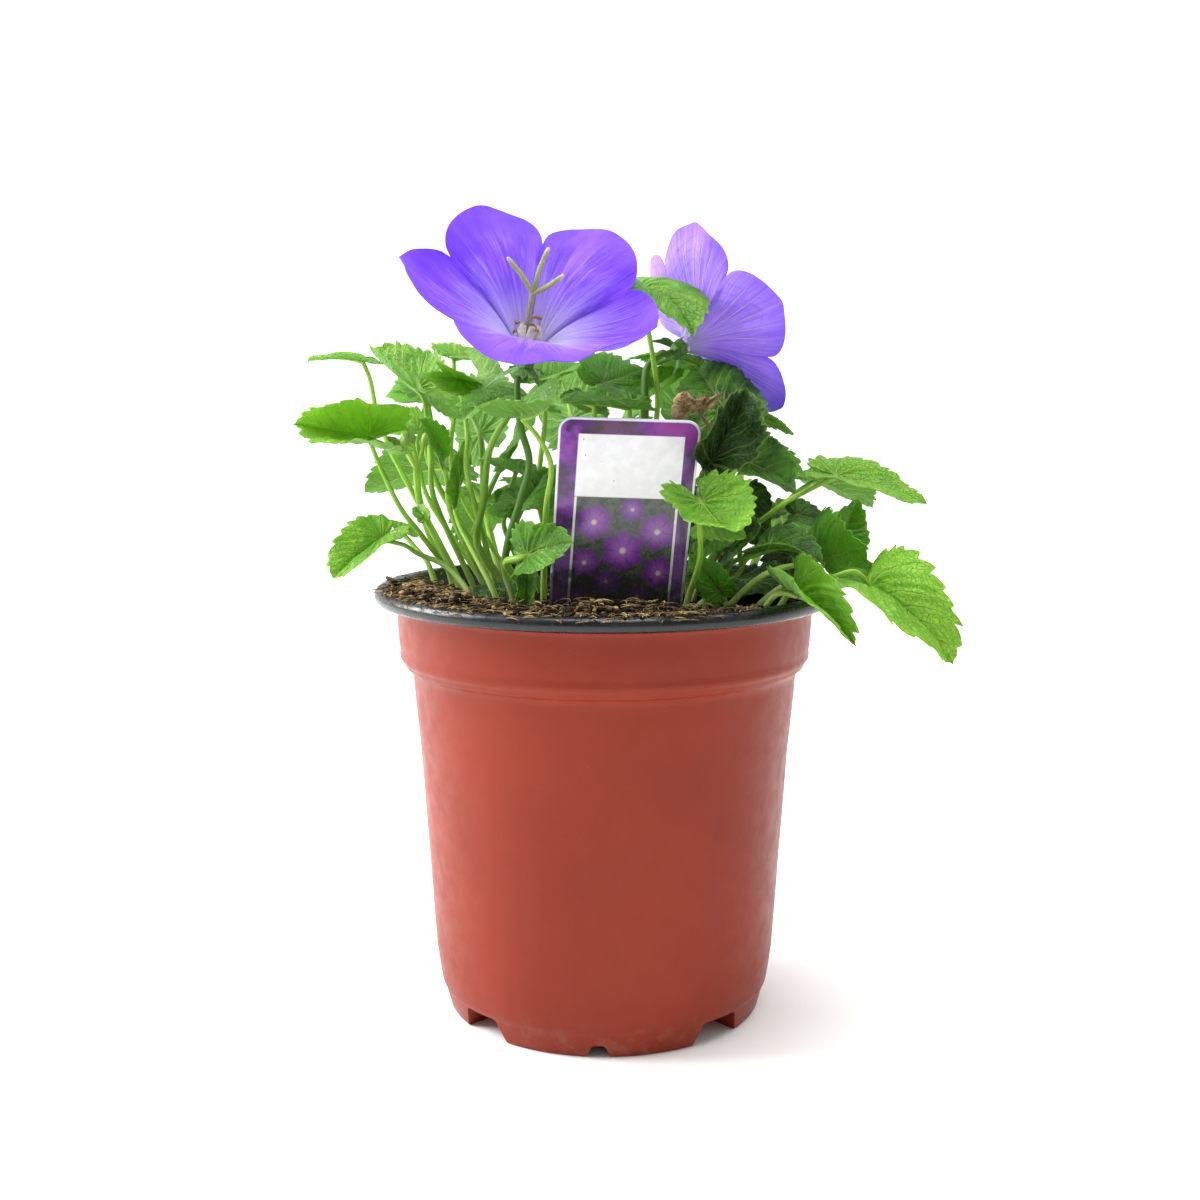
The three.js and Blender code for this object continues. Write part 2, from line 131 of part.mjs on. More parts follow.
const BUDS = { stem: [[-47.29, 5, 135.72], [-47.37, 11.51, 127.32], [-44.91, 12.58, 118.09], [-41.15, 12.92, 111.42], [-39.59, 15.72, 106.15], [-38.75, 16.05, 100.07]],
  twigs: [[[-47.29, 5, 135.72], [-49.23, 3, 139.82], [-52.29, 2, 142.35]], [[-47.29, 5, 135.72], [-49.43, 6.5, 138.9], [-50.5, 7.5, 142.36]], [[-47.04, 5, 135.72], [-47.66, 4.5, 140.25], [-48.29, 4, 143.51]], [[-47.05, 5, 135.22], [-46.04, 5.5, 138.95], [-45.29, 6, 142.43]]] };


// ---------------------------------------------------------------- helpers
const v3 = (a) => new THREE.Vector3(a[0], a[1], a[2]);
const interp = (x, xs, ys) => {
  if (x <= xs[0]) return ys[0];
  for (let i = 1; i < xs.length; i++) {
    if (x <= xs[i]) return ys[i - 1] + (ys[i] - ys[i - 1]) * (x - xs[i - 1]) / (xs[i] - xs[i - 1]);
  }
  return ys[ys.length - 1];
};

function toSolid(geometry) {
  const g = new THREE.BufferGeometry();
  const src = geometry.index ? geometry.toNonIndexed() : geometry;
  g.setAttribute('position', src.getAttribute('position').clone());
  const m = mergeVertices(g, 1e-4);
  const idx = Array.from(m.index.array);
  const tri = [];
  for (let i = 0; i < idx.length; i += 3) {
    if (idx[i] !== idx[i + 1] && idx[i + 1] !== idx[i + 2] && idx[i] !== idx[i + 2]) {
      tri.push(idx[i], idx[i + 1], idx[i + 2]);
    }
  }
  let solid = new wasm.Manifold(new wasm.Mesh({
    numProp: 3,
    vertProperties: new Float32Array(m.getAttribute('position').array),
    triVerts: new Uint32Array(tri),
  }));
  if (solid.volume() < 0) {
    const flip = [];
    for (let i = 0; i < tri.length; i += 3) flip.push(tri[i], tri[i + 2], tri[i + 1]);
    solid = new wasm.Manifold(new wasm.Mesh({
      numProp: 3,
      vertProperties: new Float32Array(m.getAttribute('position').array),
      triVerts: new Uint32Array(flip),
    }));
  }
  return solid;
}

function toGeometry(solid) {
  const mesh = solid.getMesh();
  const g = new THREE.BufferGeometry();
  g.setAttribute('position', new THREE.BufferAttribute(new Float32Array(mesh.vertProperties), 3));
  g.setIndex(new THREE.BufferAttribute(new Uint32Array(mesh.triVerts), 1));
  const flat = g.toNonIndexed();
  flat.computeVertexNormals();
  return flat;
}

// largest connected piece: drops slivers that a union can leave
function mainPiece(solid) {
  const parts = solid.decompose();
  let best = parts[0];
  for (const p of parts) if (p.volume() > best.volume()) best = p;
  return best;
}

function lathe(points, segments, phase = 0) {
  const g = new THREE.LatheGeometry(points.map((p) => new THREE.Vector2(p[0], p[1])), segments, phase);
  g.rotateX(Math.PI / 2);
  return g;
}

function spline(points) {
  const p = points.map(v3);
  return new THREE.CatmullRomCurve3(p, false, 'catmullrom', 0.5);
}

// a stalk: extruded polygon along a smooth path
function stalk(points, radius, steps, sides = STALK_SIDES) {
  const shape = new THREE.Shape();
  for (let i = 0; i < sides; i++) {
    const a = i / sides * 2 * Math.PI;
    if (i) shape.lineTo(radius * Math.cos(a), radius * Math.sin(a));
    else shape.moveTo(radius * Math.cos(a), radius * Math.sin(a));
  }
  const path = points.length > 2 ? spline(points)
    : new THREE.CatmullRomCurve3([v3(points[0]), v3(points[0]).lerp(v3(points[1]), .5), v3(points[1])]);
  return new THREE.ExtrudeGeometry(shape, { steps, bevelEnabled: false, extrudePath: path });
}

// keeps the part of a stalk path that is above the soil
function aboveSoil(points) {
  const c = spline(points), n = 200, out = [];
  let end = 1;
  for (let i = 0; i <= n; i++) {
    const p = c.getPoint(i / n);
    if (p.z < STALK_END_Z) { end = i / n; break; }
  }
  const m = Math.max(3, points.length);
  for (let i = 0; i <= m; i++) { const p = c.getPoint(end * i / m); out.push([p.x, p.y, p.z]); }
  return out;
}

function leafFrame(leaf) {
  const B = v3(leaf.b), d = v3(leaf.t).sub(B), chord = d.length();
  d.normalize();
  const n = v3(leaf.n), h = leaf.bend / 2;
  const T0 = d.clone().multiplyScalar(Math.cos(h)).addScaledVector(n, Math.sin(h));
  const N0 = n.clone().multiplyScalar(Math.cos(h)).addScaledVector(d, -Math.sin(h));
  const S = new THREE.Vector3().crossVectors(T0, N0);
  return { B, T0, N0, S, L: chord * (Math.abs(h) > 1e-4 ? h / Math.sin(h) : 1) };
}

// point of the bent, folded blade at x across and y along, raised by dz
function bladePoint(leaf, f, x, y, dz) {
  const b = Math.abs(leaf.bend) > 1e-4 ? leaf.bend : 1e-4, th = b * y / f.L;
  const P = f.B.clone().addScaledVector(f.T0, f.L / b * Math.sin(th))
    .addScaledVector(f.N0, -f.L / b * (1 - Math.cos(th)));
  const N = f.N0.clone().multiplyScalar(Math.cos(th)).addScaledVector(f.T0, Math.sin(th));
  const hw = leaf.w / 2, q = Math.abs(x) / hw, s = Math.sign(x);
  const g = leaf.fold + leaf.diff * s, k = Math.abs(leaf.curl) < 1e-3 ? 1e-3 : leaf.curl;
  const lat = hw / k * (Math.sin(g + k * q) - Math.sin(g));
  const up = hw / k * (Math.cos(g) - Math.cos(g + k * q));
  const a = (g + k * q) * Math.min(1, q / 0.08);
  return P.addScaledVector(f.S, s * lat - dz * s * Math.sin(a)).addScaledVector(N, up + dz * Math.cos(a));
}

function leafBlade(leaf) {
  const rows = [0.5, 1], t = LEAF_THICK / 2;
  const pts = [[0, t], ...rows.map((r) => [r, t]), ...rows.slice().reverse().map((r) => [r, -t]), [0, -t]];
  const g = new THREE.LatheGeometry(pts.map((p) => new THREE.Vector2(p[0], p[1])), LEAF_SEGMENTS);
  const pos = g.getAttribute('position'), f = leafFrame(leaf);
  for (let i = 0; i < pos.count; i++) {
    const rho = Math.hypot(pos.getX(i), pos.getZ(i)), ph = rho > 1e-6 ? Math.atan2(pos.getX(i), pos.getZ(i)) : 0;
    const r = interp(Math.abs(ph) * 180 / Math.PI, MARGIN_ANGLE, MARGIN_RADIUS) * rho;
    const P = bladePoint(leaf, f, r * Math.sin(ph) * leaf.w / 1.13, r * Math.cos(ph) * f.L, pos.getY(i));
    pos.setXYZ(i, P.x, P.y, P.z);
  }
  return toSolid(g);
}

// the stalk runs a little way into the midrib, on the lower side
function leafStalk(leaf, points, steps) {
  const f = leafFrame(leaf);
  const rib = bladePoint(leaf, f, 0, 0.16 * f.L, -0.25), base = bladePoint(leaf, f, 0, 0, -0.3);
  const rest = points.slice(1);
  return toSolid(stalk([[rib.x, rib.y, rib.z], [base.x, base.y, base.z], ...rest], leaf.r, steps));
}

function leafSolid(leaf) {
  const path = aboveSoil([leaf.b, ...leaf.path]);
  return mainPiece(leafBlade(leaf).add(leafStalk(leaf, path, Math.max(4, path.length))));
}

function bellPoint(fl, u, th) {
  const k0 = Math.floor((th + Math.PI / 5) / (2 * Math.PI / 5));
  const ph = (th - k0 * 2 * Math.PI / 5) / (Math.PI / 5);
  const k = ((k0 % 5) + 5) % 5, kn = (((k + Math.sign(ph)) % 5) + 5) % 5;
  const wn = .5 * Math.abs(ph) ** 2, mix = (a) => a[k] * (1 - wn) + a[kn] * wn;
  const d = mix(fl.bend), l = mix(fl.size), e = mix(fl.early);
  const g = Math.max(0, 1 - Math.abs(ph) ** 2.3) ** .60;
  const s = u * (fl.notch + (l - fl.notch) * g + 0.035 * Math.exp(-((ph / 0.09) ** 2)));
  let r = fl.r0, h = 0;
  for (let i = 0; i < 12; i++) {
    const t = s * (i + .5) / 12;
    const A = interp(t, BELL_POINTS, BELL_SLOPE)
      + d * Math.max(0, Math.min(1.2, (t - .25) / .75)) ** 1.3 * 1.6
      + e * Math.sin(Math.PI * Math.max(0, Math.min(1, t / .8)));
    r += Math.cos(A) * s / 12 * fl.L;
    h += Math.sin(A) * s / 12 * fl.L;
  }
  return { r, h };
}

function bellFrame(fl) {
  const a = v3(fl.axis).normalize();
  const e1 = new THREE.Vector3(0, 0, 1).cross(a).normalize(), e2 = a.clone().cross(e1);
  const c = Math.cos(fl.turn), s = Math.sin(fl.turn);
  return { C: v3(fl.c), a, e1: e1.clone().multiplyScalar(c).addScaledVector(e2, s),
    e2: e2.clone().multiplyScalar(c).addScaledVector(e1, -s) };
}

function bellSolid(fl) {
  const rows = [0.04, .2, .4, .6, .8, 1], t = PETAL_THICK / 2, around = 40;
  const pts = [...rows.map((u) => [u + .1, -t]), ...rows.slice().reverse().map((u) => [u + .1, t])];
  pts.push(pts[0]);
  const g = new THREE.LatheGeometry(pts.map((p) => new THREE.Vector2(p[0], p[1])), around);
  const F = bellFrame(fl), pos = g.getAttribute('position');
  const at = (u, th) => {
    const q = bellPoint(fl, u, th);
    return F.C.clone().addScaledVector(F.a, q.h).addScaledVector(F.e1, q.r * Math.cos(th))
      .addScaledVector(F.e2, q.r * Math.sin(th));
  };
  for (let i = 0; i < pos.count; i++) {
    const u = Math.hypot(pos.getX(i), pos.getZ(i)) - .1, th = Math.atan2(pos.getX(i), pos.getZ(i));
    const P = at(u, th), e = 0.03;
    const du = at(Math.min(1, u + e), th).sub(at(u - e, th)), dt = at(u, th + e).sub(at(u, th - e));
    P.addScaledVector(dt.cross(du).normalize(), pos.getY(i));
    pos.setXYZ(i, P.x, P.y, P.z);
  }
  return toSolid(g);
}

const material = (color, roughness, metalness = 0) =>
  new THREE.MeshStandardMaterial({ color, roughness, metalness });

const plant = new THREE.Group();
plant.name = 'potted_carpathian_bellflower';
function addMesh(name, geometry, mat) {
  const mesh = new THREE.Mesh(geometry, mat);
  mesh.name = name;
  plant.add(mesh);
  return mesh;
}

// ---------------------------------------------------------------- pot: thin wall, rolled lip,
// step, four feet with drain channels between them and a notch in each foot
function channelPrism(bottom, top, height, length) {
  const s = new THREE.Shape();
  s.moveTo(-bottom / 2, -2);
  s.lineTo(bottom / 2, -2);
  s.lineTo(top / 2 + 1, height - 1.6);
  s.lineTo(top / 2 - 1, height);
  s.lineTo(-top / 2 + 1, height);
  s.lineTo(-top / 2 - 1, height - 1.6);
  const g = new THREE.ExtrudeGeometry(s, { depth: length, steps: 1, bevelEnabled: false });
  g.rotateX(Math.PI / 2);      // the section stands in XZ, the prism runs along -Y
  return g;
}
function channels(bottom, top, height) {
  let all = null;
  for (const a of [45, 135]) {
    const g = channelPrism(bottom, top, height, 120);
    g.translate(0, 60, 0);
    g.rotateZ(a * Math.PI / 180 + FEET_TURN);
    all = all ? all.add(toSolid(g)) : toSolid(g);
  }
  return all;
}
let pot = toSolid(lathe(POT_OUTER, POT_SEGMENTS)).subtract(channels(CHANNEL_BOTTOM, CHANNEL_TOP, CHANNEL_HEIGHT));
pot = pot.subtract(toSolid(lathe(POT_INNER, POT_SEGMENTS))
  .subtract(channels(CHANNEL_BOTTOM + 2 * WALL, CHANNEL_TOP + 2 * WALL, CHANNEL_HEIGHT + WALL)));
for (let i = 0; i < 4; i++) {
  const g = channelPrism(NOTCH_BOTTOM, NOTCH_TOP - 1, NOTCH_HEIGHT, 6);
  g.translate(0, 42.5, 0);
  g.rotateZ(i * Math.PI / 2 + FEET_TURN);
  pot = pot.subtract(toSolid(g));
}
const hole = new THREE.CylinderGeometry(DRAIN_HOLE_RADIUS, DRAIN_HOLE_RADIUS, 6, 16);
hole.rotateX(Math.PI / 2);
hole.translate(0, 0, 6);
pot = pot.subtract(toSolid(hole));
addMesh('pot', toGeometry(mainPiece(pot)), material(0xa8502f, 0.55));

// ---------------------------------------------------------------- label: flat stake, round corners
function labelOutline(grow) {
  const s = new THREE.Shape(), L = LABEL, g = grow;
  if (grow > 0) {            // the slot: straight sides, open at the top
    s.moveTo(-L.tipHalf - g, -L.below - g);
    s.lineTo(L.tipHalf + g, -L.below - g);
    s.lineTo(L.soilHalf + g, -L.shoulder);
    s.lineTo(L.soilHalf + g, 12);
    s.lineTo(-L.soilHalf - g, 12);
    s.lineTo(-L.soilHalf - g, -L.shoulder);
    return s;
  }
  s.moveTo(-L.tipHalf, -L.below);
  s.lineTo(L.tipHalf, -L.below);
  s.lineTo(L.soilHalf, -L.shoulder);
  s.lineTo(L.topHalf, L.above - L.corner);
  s.absarc(L.topHalf - L.corner, L.above - L.corner, L.corner, 0, Math.PI / 2, false);
  s.absarc(-L.topHalf + L.corner, L.above - L.corner, L.corner, Math.PI / 2, Math.PI, false);
  s.lineTo(-L.soilHalf, -L.shoulder);
  return s;
}
function labelGeometry(grow) {
  const t = LABEL_THICK + 2 * Math.max(0, grow);
  const g = new THREE.ExtrudeGeometry(labelOutline(grow), { depth: t, steps: 1, bevelEnabled: false, curveSegments: 5 });
  g.translate(0, 0, -t / 2);
  const p = g.getAttribute('position');
  for (let i = 0; i < p.count; i++) p.setX(i, p.getX(i) + LABEL.lean * p.getY(i) / LABEL.above);
  const m = new THREE.Matrix4().makeBasis(v3(LABEL.x), v3(LABEL.y), v3(LABEL.z));
  g.applyMatrix4(m);
  g.translate(LABEL.o[0], LABEL.o[1], LABEL.o[2]);
  return g;
}
const soil = toSolid(lathe(SOIL_PROFILE, POT_SEGMENTS)).subtract(toSolid(labelGeometry(LABEL_CLEAR)));
addMesh('soil', toGeometry(mainPiece(soil)), material(0x2b1c12, 0.95));
addMesh('label', toGeometry(toSolid(labelGeometry(0))), material(0x8a62b8, 0.35));

// ---------------------------------------------------------------- leaves
for (const leaf of LEAVES) {
  const mat = leaf.k === 'dry' ? material(0x9a6a3a, 0.8) : material(leaf.k === 'under' ? 0x7fa85a : 0x4f8a2c, 0.55);
  addMesh(leaf.name, toGeometry(leafSolid(leaf)), mat);
}
for (const shoot of SHOOTS) {
  let s = toSolid(stalk(aboveSoil(shoot.stem), shoot.r, 4));
  for (const leaf of shoot.leaves) {
    s = s.add(leafBlade(leaf)).add(leafStalk(leaf, [leaf.b, ...leaf.path], 4));
  }
  addMesh(shoot.name, toGeometry(mainPiece(s)), material(0x4f8a2c, 0.55));
}

// ---------------------------------------------------------------- flower stems, with the calyx
function flowerStem(fl, path, radius, sepals) {
  const F = bellFrame(fl), gap = 0.75;
  const at = (h) => F.C.clone().addScaledVector(F.a, h);
  const top = at(-gap - 0.6), low = at(-gap - 4.2);
  const pts = aboveSoil([[top.x, top.y, top.z], [low.x, low.y, low.z], ...path]);
  let s = toSolid(stalk(pts, radius, Math.max(6, pts.length + 1), 6));
  const cup = new THREE.LatheGeometry([[0, -5.0], [radius + .1, -4.6], [2.3, -2.6], [2.6, -1.3], [2.0, -gap], [0, -gap]]
    .map((p) => new THREE.Vector2(p[0], p[1])), 10);
  const m = new THREE.Matrix4().makeBasis(F.e1, F.a, F.e2.clone().negate()).setPosition(F.C);
  if (m.determinant() < 0) throw new Error('calyx frame');
  cup.applyMatrix4(m);
  s = s.add(toSolid(cup));
  for (const [ang, len, drop] of sepals) {
    const a = ang * Math.PI / 180;
    const out = F.e1.clone().multiplyScalar(Math.cos(a)).addScaledVector(F.e2, Math.sin(a));
    const p0 = at(-gap - 1.2).addScaledVector(out, 1.6);
    const p1 = at(-gap - 1.4 - drop * .35).addScaledVector(out, 1.6 + len * .5);
    const p2 = at(-gap - 1.4 - drop).addScaledVector(out, 1.6 + len);
    const blade = new THREE.ConeGeometry(1.2, p2.distanceTo(p0), 5, 1);
    blade.scale(1, 1, 0.42);
    const dir = p2.clone().sub(p0).normalize(), side = dir.clone().cross(F.a).normalize();
    const nrm = side.clone().cross(dir);
    blade.applyMatrix4(new THREE.Matrix4().makeBasis(side, dir, nrm).setPosition(p1.lerp(p0.clone().add(p2).multiplyScalar(.5), 1)));
    s = s.add(toSolid(blade));
  }
  return mainPiece(s);
}
addMesh('flower_1_stem', toGeometry(flowerStem(FLOWER_1, FLOWER_1.stem, 1.2,
  [[0, 6, 3], [72, 6, 3], [144, 8, 5.5], [216, 6, 0.5], [288, 3.2, 6.2]])), material(0x7a9a45, 0.5));
addMesh('flower_2_stem', toGeometry(flowerStem(FLOWER_2, FLOWER_2.stem, 1.0,
  [[20, 4, 4], [92, 4, 4], [164, 4, 4], [236, 4, 4], [308, 4, 4]])), material(0x7a9a45, 0.5));
addMesh('flower_1_corolla', toGeometry(bellSolid(FLOWER_1)), material(0x7d50eb, 0.5));
addMesh('flower_2_corolla', toGeometry(bellSolid(FLOWER_2)), material(0x9a7ae0, 0.5));

// ---------------------------------------------------------------- pistil: style with three stigma arms
let pistil = toSolid(stalk(PISTIL.style, 0.7, 5, 6));
for (const arm of PISTIL.arms) pistil = pistil.add(toSolid(stalk(arm, 0.55, 4, 5)));
addMesh('flower_1_pistil', toGeometry(mainPiece(pistil)), material(0xb9c07a, 0.7));
// withered stamens: a ring at the base with limp filaments
let stamens = null;
for (const [a, b] of STAMENS.pairs) {
  const s = toSolid(stalk([a, b], 0.45, 3, 5));
  stamens = stamens ? stamens.add(s) : s;
}
{
  const F = bellFrame(FLOWER_1);
  const ring = new THREE.LatheGeometry([[1.05, 1.7], [1.6, 1.7], [1.6, 2.6], [1.05, 2.6], [1.05, 1.7]]
    .map((p) => new THREE.Vector2(p[0], p[1])), 10);
  ring.applyMatrix4(new THREE.Matrix4().makeBasis(F.e1, F.a, F.e2.clone().negate()).setPosition(F.C));
  stamens = stamens.add(toSolid(ring));
}
addMesh('flower_1_stamens', toGeometry(mainPiece(stamens)), material(0xc9a878, 0.7));

// ---------------------------------------------------------------- forked shoot with small closed buds
let shoot = toSolid(stalk(aboveSoil(BUDS.stem), 1.0, 7));
for (const twig of BUDS.twigs) {
  shoot = shoot.add(toSolid(stalk(twig, 0.55, 3)));
  const tip = v3(twig[twig.length - 1]), dir = tip.clone().sub(v3(twig[twig.length - 2])).normalize();
  const bud = new THREE.SphereGeometry(1, 8, 5);
  bud.scale(1.15, 2.1, 1.15);
  const side = new THREE.Vector3(0, 1, 0).cross(dir).normalize();
  bud.applyMatrix4(new THREE.Matrix4().makeBasis(side, dir, side.clone().cross(dir)).setPosition(tip));
  shoot = shoot.add(toSolid(bud));
}
addMesh('bud_shoot', toGeometry(mainPiece(shoot)), material(0x8fb04a, 0.55));

export default plant;
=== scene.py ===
# Potted bellflower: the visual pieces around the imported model. Units are metres in the scene;
# the tables below are in millimetres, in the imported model's frame.
import bpy, bmesh, math
import numpy as np
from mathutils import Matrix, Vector, noise as mnoise


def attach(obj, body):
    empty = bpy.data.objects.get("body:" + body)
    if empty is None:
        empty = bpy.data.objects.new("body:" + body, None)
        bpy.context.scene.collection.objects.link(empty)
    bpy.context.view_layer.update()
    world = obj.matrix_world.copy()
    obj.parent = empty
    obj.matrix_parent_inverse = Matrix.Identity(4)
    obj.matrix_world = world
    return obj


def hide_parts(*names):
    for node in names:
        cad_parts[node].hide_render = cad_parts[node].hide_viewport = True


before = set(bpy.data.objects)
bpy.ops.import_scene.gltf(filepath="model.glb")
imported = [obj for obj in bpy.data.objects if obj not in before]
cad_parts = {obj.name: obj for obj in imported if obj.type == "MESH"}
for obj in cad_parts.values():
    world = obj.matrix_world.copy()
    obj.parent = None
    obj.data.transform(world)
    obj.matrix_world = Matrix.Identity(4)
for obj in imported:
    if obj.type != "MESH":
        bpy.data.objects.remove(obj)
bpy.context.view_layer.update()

SC = bpy.context.scene
MM = 0.001
RNG = np.random.RandomState(11)

# ------------------------------------------------------------------ camera and light
cam = bpy.data.objects.new("camera", bpy.data.cameras.new("camera"))
cam.data.sensor_width = 36.0
cam.data.lens = 47.22
cam.data.clip_start = 0.01
cam.location = (0.0, -0.3906, 0.1592)
cam.rotation_euler = (math.radians(81.81), 0.0, math.radians(0.164))
SC.collection.objects.link(cam)
SC.camera = cam
bpy.context.scene.camera = cam
SC.view_settings.view_transform = "Standard"
SC.view_settings.look = "None"


def area(name, loc, target, size, power, color=(1, 1, 1), size_y=None):
    d = bpy.data.lights.new(name, "AREA")
    d.energy = power
    d.color = color
    d.size = size
    if size_y:
        d.shape = "RECTANGLE"
        d.size_y = size_y
    o = bpy.data.objects.new(name, d)
    o.location = loc
    o.rotation_euler = (Vector(target) - Vector(loc)).to_track_quat("-Z", "Y").to_euler()
    SC.collection.objects.link(o)
    return o


world = bpy.data.worlds.new("studio")
SC.world = world
world.use_nodes = True
_w = world.node_tree
_w.nodes.clear()
_out = _w.nodes.new("ShaderNodeOutputWorld")
_bg = _w.nodes.new("ShaderNodeBackground")
_co = _w.nodes.new("ShaderNodeTexCoord")
_sx = _w.nodes.new("ShaderNodeSeparateXYZ")
_w.links.new(_co.outputs["Generated"], _sx.inputs[0])


def _wm(kind, a, b, clamp=False):
    n = _w.nodes.new("ShaderNodeMath")
    n.operation = kind
    n.use_clamp = clamp
    for i, v in enumerate((a, b)):
        if hasattr(v, "is_linked"):
            _w.links.new(v, n.inputs[i])
        else:
            n.inputs[i].default_value = v
    return n.outputs[0]


# a white tent: bright behind and to the left, dimmer on the side of the viewer
_back = _wm("MULTIPLY_ADD", _sx.outputs[1], .57)
_back.node.inputs[2].default_value = .53
_left = _wm("MAXIMUM", _wm("MULTIPLY", _sx.outputs[0], -.60), _wm("MULTIPLY", _sx.outputs[0], .35))
_s = _wm("MULTIPLY", _wm("MAXIMUM", _wm("ADD", _back, _left), .25), 1.15)
_w.links.new(_s, _bg.inputs["Strength"])
_bg.inputs["Color"].default_value = (1, 1, 1, 1)
_w.links.new(_bg.outputs[0], _out.inputs["Surface"])
area("key", (-1.30, .22, .90), (0, 0, .12), 1.0, 47)
area("top", (.15, -.05, 1.7), (0, 0, 0), 1.2, 30)
area("front", (.35, -1.7, .8), (0, 0, .1), .9, 1.5)


